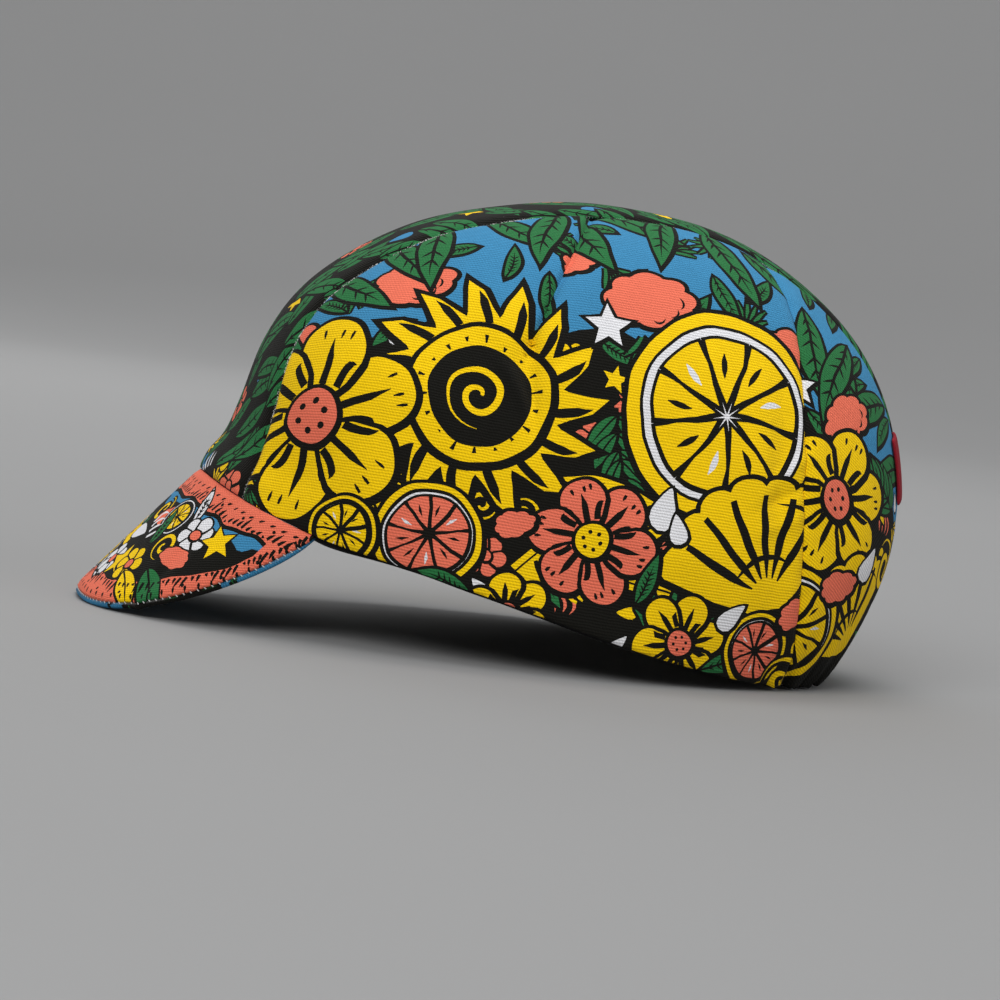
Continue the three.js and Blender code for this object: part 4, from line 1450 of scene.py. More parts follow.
def twill_group():
    """Slanting ribs of a twill weave, with the yarns that cross them and slow unevenness. Height is the
    relief; Weave shade is painted shade, darker in the ribs' valleys.
    """
    group, start, end = effect_group(
        "Twill weave",
        [
            ("Vector", VECTOR, None), ("Rib spacing", FLOAT, 0.85),
            ("Unevenness", FLOAT, 0.25),
        ],
        [("Height", FLOAT), ("Tone", FLOAT)],
    )
    if start is None:
        return group
    vector, spacing = start.outputs["Vector"], start.outputs["Rib spacing"]
    parts = add_node(group, "ShaderNodeSeparateXYZ", {0: vector})
    slow = noise(group, vector, 0.22, 3.0)
    stretched = add_node(group, "ShaderNodeMapping", {"Vector": vector, "Scale": (0.35, 2.2, 1.0)})
    slub = noise(group, stretched.outputs[0], 0.9, 2.0)
    bend = times(group, math_node(group, "SUBTRACT", slow, 0.5), 3.0)
    bend = times(group, bend, start.outputs["Unevenness"])
    across = math_node(group, "DIVIDE", plus(group, parts.outputs["Y"], bend), spacing)
    wave = math_node(group, "SINE", times(group, across, 2 * math.pi))
    rib = plus(group, times(group, wave, 0.5), 0.5)
    along = math_node(group, "DIVIDE", parts.outputs["X"], spacing)
    crossing_phase = plus(group, times(group, along, 0.9), times(group, across, 0.5))
    yarn = math_node(group, "SINE", times(group, crossing_phase, 2 * math.pi))
    yarn = plus(group, times(group, yarn, 0.5), 0.5)
    height = plus(group, times(group, rib, 0.62), times(group, yarn, 0.22))
    height = plus(group, height, times(group, slub, 0.36))
    # Painted shade: the colour is darker in the weave's valleys and lighter on its ribs.
    weave_shade = plus(group, times(group, height, 0.46), 0.7)
    group.links.new(height, end.inputs["Height"])
    group.links.new(weave_shade, end.inputs["Tone"])
    return group


def ink_and_shade_group():
    """Ink that the yarns took unevenly, slow patches and fine grains, darkened in the weave's valleys by
    painted shade, with a painted sheen on black.
    """
    group, start, end = effect_group(
        "Uneven ink",
        [
            ("Color", COLOUR, (1, 1, 1, 1)), ("Vector", VECTOR, None),
            ("Tone", FLOAT, 1.0), ("Grain", FLOAT, 0.12),
        ],
        [("Color", COLOUR)],
    )
    if start is None:
        return group
    patches = noise(group, start.outputs["Vector"], 0.07, 4.0)
    grains = noise(group, start.outputs["Vector"], 2.6, 3.0)
    patch = times(group, math_node(group, "SUBTRACT", patches, 0.5), 0.18)
    grain = times(group, math_node(group, "SUBTRACT", grains, 0.5), start.outputs["Grain"])
    # Painted shade: the weave's valleys darken the ink, on top of its uneven patches and grains.
    toned = plus(group, start.outputs["Tone"], patch)
    level = plus(group, toned, times(group, grain, 2.0))
    # Painted sheen: the yarns' tops show a little paler through black.
    colours = start.outputs["Color"], (0.0012, 0.0012, 0.0012)
    scaled = [
        add_node(group, "ShaderNodeVectorMath", {0: colour, "Scale": level}, operation="SCALE").outputs[0]
        for colour in colours
    ]
    summed = add_node(group, "ShaderNodeVectorMath", dict(enumerate(scaled)), operation="ADD")
    group.links.new(summed.outputs[0], end.inputs["Color"])
    return group


def wear_group():
    """White yarn that shows through the ink close to seams and folds."""
    group, start, end = effect_group(
        "Seam wear",
        [
            ("Distance", FLOAT, 10.0), ("Vector", VECTOR, None),
            ("Reach", FLOAT, 1.1), ("Amount", FLOAT, 0.5),
        ],
        [("Mask", FLOAT)],
    )
    if start is None:
        return group
    specks = noise(group, start.outputs["Vector"], 2.4, 2.0, 0.6)
    runs = noise(group, start.outputs["Vector"], 0.11, 1.0)
    share = math_node(group, "DIVIDE", start.outputs["Distance"], start.outputs["Reach"])
    near = math_node(group, "SUBTRACT", 1.0, share, clamp=True)
    worn = times(group, near, runs)
    strength = times(group, worn, start.outputs["Amount"])
    raised = plus(group, specks, strength)
    group.links.new(mapped(group, raised, 0.76, 0.84, 0.0, 1.0), end.inputs["Mask"])
    return group


def new_material(name):
    material = bpy.data.materials.new(name)
    material.use_nodes = True
    tree = material.node_tree
    tree.nodes.clear()
    shader = tree.nodes.new("ShaderNodeBsdfPrincipled")
    output = tree.nodes.new("ShaderNodeOutputMaterial")
    tree.links.new(shader.outputs[0], output.inputs["Surface"])
    return material, tree, shader


def place_group(tree, group, values):
    return add_node(tree, "ShaderNodeGroup", values, node_tree=group)


def printed_cloth(name, rib_spacing):
    """Cotton twill that shows the print of its piece, a little worn along the strip's seams, with painted
    shade in the weave's valleys.
    """
    if name in bpy.data.materials:
        return bpy.data.materials[name]
    inks = bpy.context.scene.cap_inks
    material, tree, shader = new_material(name)
    uv = add_node(tree, "ShaderNodeUVMap", uv_map="cloth").outputs[0]
    colour = add_node(tree, "ShaderNodeAttribute", attribute_name="print").outputs["Color"]
    distance = add_node(tree, "ShaderNodeAttribute", attribute_name="seam").outputs["Fac"]
    twill = place_group(tree, twill_group(), {"Vector": uv, "Rib spacing": rib_spacing, "Unevenness": 0.25})
    inked = {"Color": colour, "Vector": uv, "Tone": twill.outputs["Tone"], "Grain": 0.12}
    ink = place_group(tree, ink_and_shade_group(), inked)
    wear = place_group(tree, wear_group(), {"Distance": distance, "Vector": uv, "Reach": 0.9, "Amount": 0.5})
    bare = (*inks.bare_cloth, 1.0)
    mixed = mixed_colour(tree, wear.outputs["Mask"], ink.outputs[0], bare)
    return finish_cloth(material, tree, shader, mixed, twill.outputs["Height"], 0.6, 0.00026)


def finish_cloth(material, tree, shader, colour, height, strength, depth):
    """Roughness, soft sheen and the weave's relief of a cotton cloth."""
    bump = add_node(tree, "ShaderNodeBump", {"Strength": strength, "Distance": depth, "Height": height})
    tree.links.new(colour, shader.inputs["Base Color"])
    tree.links.new(mapped(tree, height, 0.0, 1.2, 0.93, 0.8), shader.inputs["Roughness"])
    tree.links.new(bump.outputs[0], shader.inputs["Normal"])
    shader.inputs["Specular IOR Level"].default_value = 0.12
    shader.inputs["Sheen Weight"].default_value = 0.03
    shader.inputs["Sheen Roughness"].default_value = 0.55
    return material


def plain_cloth(name, colour_name, rib_spacing, relief):
    """Cloth of one colour with a weave, painted shade in its valleys, and worn lighter patches."""
    if name in bpy.data.materials:
        return bpy.data.materials[name]
    colour = (*getattr(bpy.context.scene.cap_inks, colour_name), 1.0)
    material, tree, shader = new_material(name)
    uv = add_node(tree, "ShaderNodeUVMap", uv_map="cloth").outputs[0]
    twill = place_group(tree, twill_group(), {"Vector": uv, "Rib spacing": rib_spacing, "Unevenness": 0.15})
    base = add_node(tree, "ShaderNodeRGB")
    base.outputs[0].default_value = colour
    inked = {"Color": base.outputs[0], "Vector": uv, "Tone": twill.outputs["Tone"], "Grain": 0.2}
    ink = place_group(tree, ink_and_shade_group(), inked)
    return finish_cloth(material, tree, shader, ink.outputs[0], twill.outputs["Height"], 0.5 * relief, 0.0002)


def thread_material():
    """White sewing thread with its two plies."""
    if "White sewing thread" in bpy.data.materials:
        return bpy.data.materials["White sewing thread"]
    material, tree, shader = new_material("White sewing thread")
    place = add_node(tree, "ShaderNodeTexCoord").outputs["Object"]
    plies = noise(tree, place, 1800.0, 2.0)
    thread = (*bpy.context.scene.cap_inks.thread, 1.0)
    shade = tuple(0.62 * v for v in thread[:3]) + (1.0,)
    bump = add_node(tree, "ShaderNodeBump", {"Strength": 0.4, "Distance": 0.0001, "Height": plies})
    # Painted shade: the thread is darker where its plies dip, from the same noise that makes their bump.
    tree.links.new(mixed_colour(tree, plies, shade, thread), shader.inputs["Base Color"])
    tree.links.new(bump.outputs[0], shader.inputs["Normal"])
    shader.inputs["Roughness"].default_value = 0.7
    return material


def floor_material(grey):
    material, tree, shader = new_material("Pale studio floor")
    place = add_node(tree, "ShaderNodeTexCoord").outputs["Object"]
    low = tuple([grey * 0.97] * 3) + (1.0,)
    high = tuple([grey * 1.03] * 3) + (1.0,)
    tree.links.new(mixed_colour(tree, noise(tree, place, 2.0, 2.0), low, high), shader.inputs["Base Color"])
    shader.inputs["Roughness"].default_value = 0.95
    shader.inputs["Specular IOR Level"].default_value = 0.1
    return material


def crown_surface(spot_of, depth, edge_lift):
    """Where a piece of the crown lies, depth inside its outer face."""

    def surface(flat):
        angle, turn = spot_of(flat)
        side = np.where(turn < 0, -1.0, 1.0)
        points = crown_point(angle, np.abs(turn), depth, edge_lift(flat))
        points[..., 0] *= side
        points[..., 2] = np.maximum(points[..., 2], 0)
        return points

    return surface


def turned_in(lines, deep, reach):
    """How the cloth bends inwards at its edge lines."""
    return lambda flat: -deep * hump(np.min([line.distance(flat) for line in lines], axis=0), reach)


def side_panel_lines():
    """The side panel's edge on the flat drawing, from the front corner: strip seam, rear seam and rim."""
    shift = -SEAM_GAP / 2
    top, foot = rear_seam_ends(shift)
    first = rim_spot(FRONT_CORNER)[0]
    last = seen_from_side(rear_seam_y(top) + shift, top)[0]
    angles = np.linspace(first, last, 160)
    z = np.linspace(top, foot, 90)
    strip = side_flat(angles, strip_turn(angles) + SEAM_TURN)
    rear = side_flat(*seen_from_side(rear_seam_y(z) + shift, z))
    rim = side_flat(*rim_spot(np.linspace(rear_seam_y(foot) + shift, FRONT_CORNER, 150)))
    return [resampled(line, 1.5) for line in (strip, rear, rim)]


def rear_panel_lines():
    """The rear panel's edge on the flat drawing, from its top: rear seam, rim and strip seam."""
    shift = SEAM_GAP / 2
    top, foot = rear_seam_ends(shift)
    first = seen_from_side(rear_seam_y(top) + shift, top)[0]
    last = rim_spot(BACK_CORNER)[0]
    angles = np.linspace(last, first, 90)
    z = np.linspace(top, foot, 90)
    front = side_flat(*seen_from_side(rear_seam_y(z) + shift, z))
    rim = side_flat(*rim_spot(np.linspace(rear_seam_y(foot) + shift, BACK_CORNER, 50)))
    strip = side_flat(angles, strip_turn(angles) + SEAM_TURN)
    return [resampled(line, 1.5) for line in (front, rim, strip)]


def rim_across(middle, corner, reach):
    """The rim across the strip, from its right corner to its left one."""
    half = strip_flat(*rim_spot(np.linspace(middle, corner, 30)))
    half[:, 0] *= reach / half[-1, 0]
    return np.concatenate([half[::-1] * [-1, 1], half[1:]])


def strip_lines():
    """The centre strip's edge: left seam to the back, rear rim, right seam to the front, front rim."""
    angles = np.linspace(rim_spot(FRONT_CORNER)[0], rim_spot(BACK_CORNER)[0], 260)
    left = strip_flat(angles, strip_turn(angles) - SEAM_TURN)
    back = rim_across(RIM_BACK, BACK_CORNER, left[-1, 0])[::-1]
    front = rim_across(RIM_FRONT, FRONT_CORNER, left[0, 0])
    return [resampled(line, 1.5) for line in (left, back, (left * [-1, 1])[::-1], front)]


def dress(obj, node, material):
    """Gives a finished piece its material and puts it in the place of its solid."""
    obj.data.materials.append(material)
    if node:
        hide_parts(node)
    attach(obj, "root")
    return obj


def crown_panel(name, lines, spot_of, seams, hems, wear, cloth_print, grain, sizes, mirrored=False):
    folds = turned_in(seams, sizes.seam_fold * 1000, 0.9)
    hem = turned_in(hems, 0.3, 0.7)
    outer = crown_surface(spot_of, 0.0, lambda flat: folds(flat) + hem(flat))
    inner = crown_surface(spot_of, PANEL_WALL, lambda flat: -0.5 * folds(flat) - hem(flat))
    outline = np.concatenate([line[:-1] for line in lines])
    cloth = Cloth(name, outline, outer, inner, cloth_print, wear, grain, sizes.mesh_step * 1000)
    return cloth.build(mirrored)


def make_side_panels(sizes):
    lines = side_panel_lines()
    strip, rear, rim = (EdgeLine(line) for line in lines)
    designs = {
        "left": side_print(SIDE_LEFT_LAYOUT, LEFT_RIBBONS, 3),
        "right": side_print(SIDE_RIGHT_LAYOUT, RIGHT_RIBBONS, 5),
    }
    for side, design in designs.items():
        obj = crown_panel(
            f"side_panel_{side}_cloth", lines, side_spot, [strip, rear], [rim], [strip],
            design, -SIDE_GRAIN if side == "left" else SIDE_GRAIN, sizes, mirrored=side == "right",
        )
        material = printed_cloth("Printed cotton twill", RIB_SPACING)
        dress(obj, f"side_panel_{side}", material)


def make_rear_panels(sizes):
    lines = rear_panel_lines()
    front, rim, strip = (EdgeLine(line) for line in lines)
    for side, seed in (("left", 9), ("right", 14)):
        obj = crown_panel(
            f"rear_panel_{side}_cloth", lines, side_spot, [front, strip], [rim], [strip],
            rear_print(seed), -REAR_GRAIN if side == "left" else REAR_GRAIN, sizes,
            mirrored=side == "right",
        )
        material = printed_cloth("Printed cotton twill", RIB_SPACING)
        dress(obj, f"rear_panel_{side}", material)


def make_centre_strip(sizes):
    lines = strip_lines()
    left, back, right, front = (EdgeLine(line) for line in lines)
    obj = crown_panel(
        "centre_strip_cloth", lines, strip_spot, [left, right], [back, front], [left, right],
        strip_print(4), STRIP_GRAIN, sizes,
    )
    dress(obj, "centre_strip", printed_cloth("Leafy cotton twill", RIB_SPACING))


def peak_surface(depth, edge_lift):
    def surface(flat):
        ripple = 0.16 * np.sin(flat[:, 0] / 6.5) * hump(flat[:, 1] + 24, 9)
        return peak_point(flat, depth, edge_lift(flat) + ripple)

    return surface


def make_peak(sizes):
    """The two covers, and the whip stitches that close them at the free edge."""
    seam, free = (resampled(line, 1.4) for line in peak_outline())
    gap = PEAK_TOP_WALL + SEAM_GAP
    upwards, downwards = np.array([1, 1]), np.array([-1, 1])
    top = peak_cover_faces(0.0, PEAK_TOP_WALL, drop=0.4, rise=0.0, tuck_share=1.0, way=upwards)
    under = peak_cover_faces(
        gap + PEAK_UNDER_WALL, gap, drop=-0.25, rise=0.75, tuck_share=0.0, way=downwards,
    )
    top_edge = set_in(free, 1.25)
    make_peak_cover("peak_top", peak_print(), seam, top_edge, top, sizes)
    make_peak_cover("peak_under", under_print(6), seam, free, under, sizes)
    make_edge_stitches(top_edge, sizes)


def set_in(line, depth):
    """A line moved to its right on the flat drawing, and less near its ends."""
    length = running_length(line)
    share = np.clip(np.minimum(length, length[-1] - length) / 8, 0, 1)
    return line - sideways(line)[1] * (depth * share)[:, None]


def peak_cover_faces(shown, hidden, drop, rise, tuck_share, way):
    """The printed and the plain face of a cover. way turns the lower cover's print downwards."""

    def faces(edge, seam):
        bend, tuck = turned_in([EdgeLine(edge)], 1.0, 1.1), turned_in([EdgeLine(seam)], 0.35, 1.2)
        outer = peak_surface(shown, lambda flat: drop * bend(flat) + tuck_share * tuck(flat))
        inner = peak_surface(hidden, lambda flat: -rise * bend(flat))
        return (lambda flat: outer(flat * way)), (lambda flat: inner(flat * way))

    return faces


def make_peak_cover(node, design, seam, edge, faces, sizes):
    """One cover of the peak. Its printed side is turned in round the edge."""
    corners = [np.array([seam[-1], edge[0]]), np.array([edge[-1], seam[0]])]
    outline = np.concatenate([line[:-1] for line in (seam, corners[0], edge, corners[1])])
    outer, inner = faces(edge, seam)
    cloth = Cloth(
        f"{node}_cloth", outline, outer, inner, design, [], PEAK_GRAIN, sizes.mesh_step * 1000,
        roll=0.32, hem=3.0,
    )
    material = printed_cloth(f"{node.replace('_', ' ').capitalize()} cotton twill", PEAK_RIB_SPACING)
    dress(cloth.build(), node, material)


def make_edge_stitches(edge, sizes):
    """Short white stitches from the upper cover's edge down to the lower cover."""
    at = np.arange(4, running_length(edge)[-1] - 4, sizes.stitch_spacing * 1000)
    spots, ahead = spots_at(edge, at), spots_at(edge, at + 0.5)
    middle_depth = PEAK_TOP_WALL + SEAM_GAP / 2
    foot = peak_point(spots, middle_depth)
    along = unit(peak_point(ahead, middle_depth) - foot)
    up = unit(peak_point(spots, 0.0) - foot)
    out = unit(np.cross(up, along))
    verts, faces = [], []
    for base, a, u, o in zip(foot, along, up, out):
        start = len(verts)
        for share, radius in ((-1.0, 0.02), (-0.8, 0.17), (0, 0.21), (0.8, 0.17), (1.0, 0.02)):
            outwards = 0.36 - 0.3 * share + 0.25 * (1 - share * share)
            centre = base + u * (0.4 + 0.55 * share) + a * 0.3 * share + o * outwards
            for k in range(6):
                angle = math.pi * k / 3
                verts.append(centre + radius * (math.cos(angle) * a + math.sin(angle) * o))
        for r in range(4):
            for k in range(6):
                i, j = start + r * 6 + k, start + r * 6 + (k + 1) % 6
                faces.append((i, j, j + 6, i + 6))
        faces.append(tuple(start + k for k in range(5, -1, -1)))
        faces.append(tuple(start + 24 + k for k in range(6)))
    obj = new_mesh_object("peak_edge_stitches", np.array(verts), faces)
    face_outwards(obj)
    dress(obj, None, thread_material())


def face_outwards(obj):
    """Turns the faces of a mesh of closed bodies outwards."""
    bpy.ops.object.select_all(action="DESELECT")
    obj.select_set(True)
    bpy.context.view_layer.objects.active = obj
    bpy.ops.object.mode_set(mode="EDIT")
    bpy.ops.mesh.select_all(action="SELECT")
    bpy.ops.mesh.normals_make_consistent(inside=False)
    bpy.ops.object.mode_set(mode="OBJECT")
    obj.select_set(False)


def climbed(pattern, height):
    """Spots that lie height above others, measured up the cloth."""
    steps = 6
    for _ in range(steps):
        da, db = smooth_tangents(pattern)
        normal = unit(np.cross(da, db))
        up = unit(np.array([0, 0, 1.0]) - normal * normal[..., 2:3])
        aa, ab, bb = (da * da).sum(-1), (da * db).sum(-1), (db * db).sum(-1)
        ua, ub = (up * da).sum(-1), (up * db).sum(-1)
        scale = height / steps / (aa * bb - ab * ab)
        pattern = pattern + np.stack([(ua * bb - ub * ab) * scale, (ub * aa - ua * ab) * scale], -1)
    return pattern


def make_sweatband():
    """A soft band inside the rim, with both of its edges folded round."""
    share = np.linspace(0, 1, 151)
    swing = (1 - np.cos(np.pi * share)) / 2
    y = RIM_FRONT + (RIM_BACK - RIM_FRONT) * (0.45 * share + 0.55 * swing)
    rim = to_pattern(*rim_spot(y))
    shown = 1 / (1 + np.exp(-(y + 67) / 1.3)) / (1 + np.exp((y - 70) / 2))
    under_rim = 0.3 - 1.0 * shown - 0.8 * shown * hump(y + 60, 14)
    outside = PANEL_WALL + BAND_GAP
    round_edge = np.linspace(0, np.pi, 6)[1:-1]
    bend, top = 0.6, 25.4
    profile = [(h, outside) for h in np.linspace(bend, top, 19)]
    profile += [(top + bend * math.sin(a), outside + bend - bend * math.cos(a)) for a in round_edge]
    profile += [(h, outside + BAND_WALL) for h in np.linspace(top, bend, 19)]
    profile += [(bend - bend * math.sin(a), outside + bend + bend * math.cos(a)) for a in round_edge]
    rings = []
    for height, depth in profile:
        spot = climbed(rim, height + under_rim)
        angle, turn = from_pattern(spot)
        smooth = smooth_crown(angle, turn)
        stitched = -0.25 * hump(height - 21.5, 0.7) + 0.06 * np.sin(y / 3.1) * hump(height - 24, 5)
        out = band_lift(smooth) + stitched * (1 if depth < outside + bend else -1) - depth
        near = smooth + smooth_normal(spot) * out[..., None]
        near[[0, -1], 0] = 0
        near[:, 2] = np.maximum(near[:, 2], 0.05)
        rings.append(np.concatenate([near, near[-2:0:-1] * [-1, 1, 1]]))
    grid = np.stack(rings, 1)
    around, across = grid.shape[:2]
    i, j = np.meshgrid(np.arange(around), np.arange(across), indexing="ij")

    def at(a, b):
        return (a % around) * across + b % across

    quads = np.stack([at(i, j), at(i + 1, j), at(i + 1, j + 1), at(i, j + 1)], -1).reshape(-1, 4)
    lengths = np.repeat(running_length(grid[:, 0]), across)
    uv = np.stack([lengths, np.tile([h for h, _ in profile], around)], 1)
    obj = new_mesh_object("sweatband_cloth", grid.reshape(-1, 3), quads, uv=uv)
    face_outwards(obj)
    dress(obj, "sweatband", plain_cloth("Black brushed cotton", "band", 0.9, 0.95))


def make_seam_tab():
    """A little loop of woven tape, folded over at its outer end and caught in the left rear seam."""
    first_angle, last_angle = 139.5, 147.2
    length, turn_length = 8.2, 1.36
    v = np.linspace(0, 1, 25)
    fold = np.linspace(0, 1, 41)
    rows = []
    for share in fold:
        # Out along the lower layer, round the fold, and back along the upper layer.
        if share < 0.42:
            reach, height = share / 0.42, 0.0
        elif share > 0.58:
            reach, height = (1 - share) / 0.42, 1.0
        else:
            a = (share - 0.42) / 0.16 * math.pi
            reach, height = 1 + 0.075 * math.sin(a), 0.5 - 0.5 * math.cos(a)
        angle = first_angle + (last_angle - first_angle) * v
        slack = 0.1 * math.sin(math.pi * min(reach, 1.0)) * (1 if height > 0.5 else 0)
        turn = strip_turn(angle) + 2 * SEAM_TURN + reach * length / turn_length
        side = 1 if height > 0.5 else -1 if height < 0.5 else 0
        edge = 0.16 * (hump(v, 0.035) + hump(1 - v, 0.035)) * side
        rows.append(crown_point(angle, turn, -(SEAM_GAP + height + slack), -edge))
    grid = np.stack(rows)
    r, c = grid.shape[:2]
    quads = [
        (i * c + j, (i + 1) * c + j, (i + 1) * c + j + 1, i * c + j + 1)
        for i in range(r - 1) for j in range(c - 1)
    ]
    # Close the two sides of the loop, and the end in the seam.
    for k in range(r // 2):
        for j, flip in ((0, False), (c - 1, True)):
            side = (k * c + j, (r - 1 - k) * c + j, (r - 2 - k) * c + j, (k + 1) * c + j)
            if len(set(side)) == 4:
                quads.append(side[::-1] if flip else side)
            elif len(set(side)) == 3:
                quads.append(tuple(dict.fromkeys(side)))
    quads += [(j, j + 1, (r - 1) * c + j + 1, (r - 1) * c + j) for j in range(c - 1)]
    uv = np.stack([np.repeat(fold * 20, c), np.tile(v * 22, r)], 1)
    obj = new_mesh_object("seam_tab_tape", grid.reshape(-1, 3), quads_to_faces(quads), uv=uv)
    face_outwards(obj)
    dress(obj, "seam_tab", plain_cloth("Dark red woven tape", "tab", 0.55, 0.7))


def quads_to_faces(quads):
    """Faces as triangles, so that their corners fit one array."""
    faces = []
    for face in quads:
        faces.append(face[:3])
        if len(face) == 4:
            faces.append((face[0], face[2], face[3]))
    return faces


def make_floor(sizes):
    """A round floor that rises into a wall all round, so that no horizon shows."""
    flat, cove, wall = 1.7, 1.3, 3.4
    profile = [(r, 0.0) for r in (0.0001, 0.3, 0.8, 1.3, flat)]
    bends = np.linspace(0, math.pi / 2, 17)[1:]
    profile += [(flat + cove * math.sin(a), cove - cove * math.cos(a)) for a in bends]
    profile += [(flat + cove, wall)]
    count = 96
    angles = np.linspace(0, 2 * math.pi, count, endpoint=False)
    rings = np.array([[(r * math.cos(a), r * math.sin(a), z) for a in angles] for r, z in profile])

    def at(i, j):
        return i * count + j % count

    quads = [
        (at(i, j + 1), at(i, j), at(i + 1, j), at(i + 1, j + 1))
        for i in range(len(profile) - 1) for j in range(count)
    ]
    obj = new_mesh_object("studio_floor", rings.reshape(-1, 3) * 1000 - [0, SHIFT_Y, 0], quads)
    obj.data.materials.append(floor_material(sizes.floor_grey))


def add_light(name, place, aim, size, power, colour=(1, 1, 1)):
    data = bpy.data.lights.new(name, "AREA")
    data.shape = "DISK"
    data.size = size
    data.energy = power
    data.color = colour
    lamp = bpy.data.objects.new(name, data)
    turn = (Vector(aim) - Vector(place)).to_track_quat("-Z", "Y")
    lamp.matrix_world = Matrix.Translation(place) @ turn.to_matrix().to_4x4()
    bpy.context.scene.collection.objects.link(lamp)


def make_camera():
    """The photo's view: from the wearer's left, a little from above, with the picture turned a little."""
    azimuth, elevation, roll = math.radians(80), math.radians(4), math.radians(7.2)
    aim, distance = Vector((0, 0.002, 0.0429)), 1.15
    level = math.cos(elevation)
    back = Vector((math.sin(azimuth) * level, -math.cos(azimuth) * level, math.sin(elevation)))
    right = Vector((math.cos(azimuth), math.sin(azimuth), 0))
    up = back.cross(right)
    camera_x = right * math.cos(roll) + up * math.sin(roll)
    camera_y = up * math.cos(roll) - right * math.sin(roll)
    data = bpy.data.cameras.new("Camera")
    data.lens = 136.2
    data.sensor_width = 36
    data.sensor_fit = "HORIZONTAL"
    data.clip_start = 0.05
    data.clip_end = 20
    camera = bpy.data.objects.new("Camera", data)
    turn = Matrix((camera_x, camera_y, back)).transposed().to_4x4()
    camera.matrix_world = Matrix.Translation(aim + back * distance) @ turn
    bpy.context.scene.collection.objects.link(camera)
    bpy.context.scene.camera = camera


def make_stage(sizes):
    make_floor(sizes)
    make_camera()
    aim = (0, 0, 0.06)
    add_light("Key light", (1.3, -0.75, 1.2), aim, 1.1, sizes.key_power)
    add_light("Fill light", (1.0, 1.2, 0.8), aim, 1.4, sizes.key_power * 0.4)
    add_light("Top light", (0.1, 0.1, 1.8), aim, 1.6, sizes.key_power * 0.5)
    add_light("Back light", (-1.4, -0.2, 1.0), aim, 1.4, sizes.key_power * 0.4)
    add_light("Wall light", (-0.9, 0.2, 2.6), (-3.0, 0.4, 0.9), 1.6, sizes.key_power * 1.9)
    world = bpy.data.worlds.new("Studio air")
    world.use_nodes = True
    world.node_tree.nodes["Background"].inputs[0].default_value = (0.97, 0.98, 1.0, 1.0)
    world.node_tree.nodes["Background"].inputs[1].default_value = sizes.air_light
    bpy.context.scene.world = world
    bpy.context.scene.view_settings.view_transform = "Standard"


def length_property(name, description, default):
    return bpy.props.FloatProperty(
        name=name, description=description, default=default, min=0.0, unit="LENGTH", precision=5,
    )


class CapSizes(bpy.types.PropertyGroup):
    mesh_step: length_property("Mesh step", "Distance between the points of the cloth", 0.0013)
    seam_fold: length_property("Seam fold", "How deep the cloth turns in at a sewn seam", 0.00045)
    stitch_spacing: length_property("Stitch spacing", "Distance between the peak's edge stitches", 0.0023)
    show_through: bpy.props.FloatProperty(
        name="Show-through", description="How much of the print the back of the cloth shows",
        default=0.16, min=0.0, max=1.0, subtype="FACTOR",
    )
    floor_grey: bpy.props.FloatProperty(
        name="Floor grey", description="How pale the studio floor is", default=0.29, min=0.0, max=1.0,
        subtype="FACTOR",
    )
    key_power: bpy.props.FloatProperty(
        name="Key light", description="Power of the main light", default=17.6, min=0.0, unit="POWER",
    )
    air_light: bpy.props.FloatProperty(
        name="Air light", description="Strength of the light from all round", default=0.62, min=0.0,
    )


def colour_property(name, description, default):
    return bpy.props.FloatVectorProperty(
        name=name, description=description, default=default, min=0.0, max=1.0, subtype="COLOR",
    )


class CapInks(bpy.types.PropertyGroup):
    black: colour_property("Black ink", "Ground and outlines of the print", INKS["black"])
    yellow: colour_property("Yellow ink", "Large shapes of the print", INKS["yellow"])
    coral: colour_property("Coral ink", "Blooms and the peak's border", INKS["coral"])
    green: colour_property("Green ink", "Leaves", INKS["green"])
    blue: colour_property("Blue ink", "Upper ground and the under cover", INKS["blue"])
    white: colour_property("White ink", "Small shapes", INKS["white"])
    bare_cloth: colour_property("Bare cloth", "Cotton where no ink lies", linear(206, 205, 202))
    band: colour_property("Band", "Sweatband", linear(24, 24, 24))
    tab: colour_property("Tab", "Woven tab in the left rear seam", linear(140, 22, 36))
    thread: colour_property("Thread", "Stitches of the peak's edge", linear(225, 225, 225))


class CAP_OT_centre_strip(bpy.types.Operator):
    """Make the leafy centre strip over the crown"""
    bl_idname = "cap.centre_strip"
    bl_label = "Centre Strip"

    def execute(self, context):
        make_centre_strip(context.scene.cap_sizes)
        return {"FINISHED"}


class CAP_OT_side_panels(bpy.types.Operator):
    """Make both side panels with their darts"""
    bl_idname = "cap.side_panels"
    bl_label = "Side Panels"

    def execute(self, context):
        make_side_panels(context.scene.cap_sizes)
        return {"FINISHED"}


class CAP_OT_rear_panels(bpy.types.Operator):
    """Make both rear panels, gathered at the rim"""
    bl_idname = "cap.rear_panels"
    bl_label = "Rear Panels"

    def execute(self, context):
        make_rear_panels(context.scene.cap_sizes)
        return {"FINISHED"}


class CAP_OT_peak(bpy.types.Operator):
    """Make the peak's two covers and the stitches of its edge"""
    bl_idname = "cap.peak"
    bl_label = "Peak"

    def execute(self, context):
        make_peak(context.scene.cap_sizes)
        return {"FINISHED"}


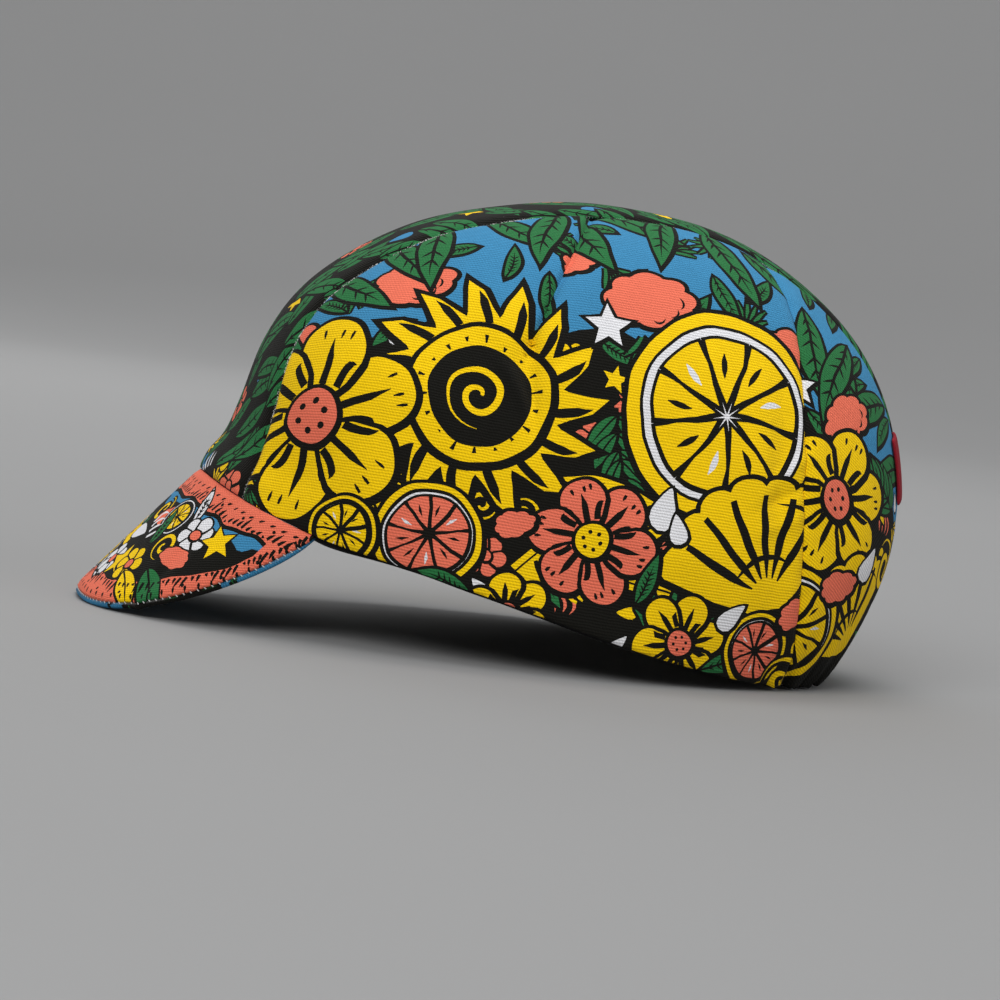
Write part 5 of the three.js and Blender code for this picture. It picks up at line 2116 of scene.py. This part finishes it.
class CAP_OT_sweatband(bpy.types.Operator):
    """Make the sweatband inside the rim"""
    bl_idname = "cap.sweatband"
    bl_label = "Sweatband"

    def execute(self, context):
        make_sweatband()
        return {"FINISHED"}


class CAP_OT_seam_tab(bpy.types.Operator):
    """Make the small woven tab in the left rear seam"""
    bl_idname = "cap.seam_tab"
    bl_label = "Seam Tab"

    def execute(self, context):
        make_seam_tab()
        return {"FINISHED"}


class CAP_OT_stage(bpy.types.Operator):
    """Set up the floor, the lights and the camera"""
    bl_idname = "cap.stage"
    bl_label = "Studio"

    def execute(self, context):
        make_stage(context.scene.cap_sizes)
        return {"FINISHED"}


OPERATORS = (
    CAP_OT_centre_strip,
    CAP_OT_side_panels,
    CAP_OT_rear_panels,
    CAP_OT_peak,
    CAP_OT_sweatband,
    CAP_OT_seam_tab,
    CAP_OT_stage,
)


class CAP_PT_panel(bpy.types.Panel):
    bl_idname = "CAP_PT_panel"
    bl_label = "Cycling Cap"
    bl_space_type = "VIEW_3D"
    bl_region_type = "UI"
    bl_category = "Cap"

    def draw(self, context):
        layout = self.layout
        for operator in OPERATORS:
            layout.operator(operator.bl_idname)
        for group in (context.scene.cap_sizes, context.scene.cap_inks):
            column = layout.column()
            for key in group.bl_rna.properties.keys():
                if key not in ("rna_type", "name"):
                    column.prop(group, key)


CLASSES = (CapSizes, CapInks, *OPERATORS, CAP_PT_panel)


def register():
    for cls in CLASSES:
        bpy.utils.register_class(cls)
    bpy.types.Scene.cap_sizes = bpy.props.PointerProperty(type=CapSizes)
    bpy.types.Scene.cap_inks = bpy.props.PointerProperty(type=CapInks)


def unregister():
    del bpy.types.Scene.cap_inks
    del bpy.types.Scene.cap_sizes
    for cls in reversed(CLASSES):
        bpy.utils.unregister_class(cls)


def main():
    register()
    bpy.ops.object.select_all(action="DESELECT")
    bpy.ops.cap.stage()
    bpy.ops.cap.centre_strip()
    bpy.ops.cap.side_panels()
    bpy.ops.cap.rear_panels()
    bpy.ops.cap.peak()
    bpy.ops.cap.sweatband()
    bpy.ops.cap.seam_tab()


if __name__ == "__main__":
    main()
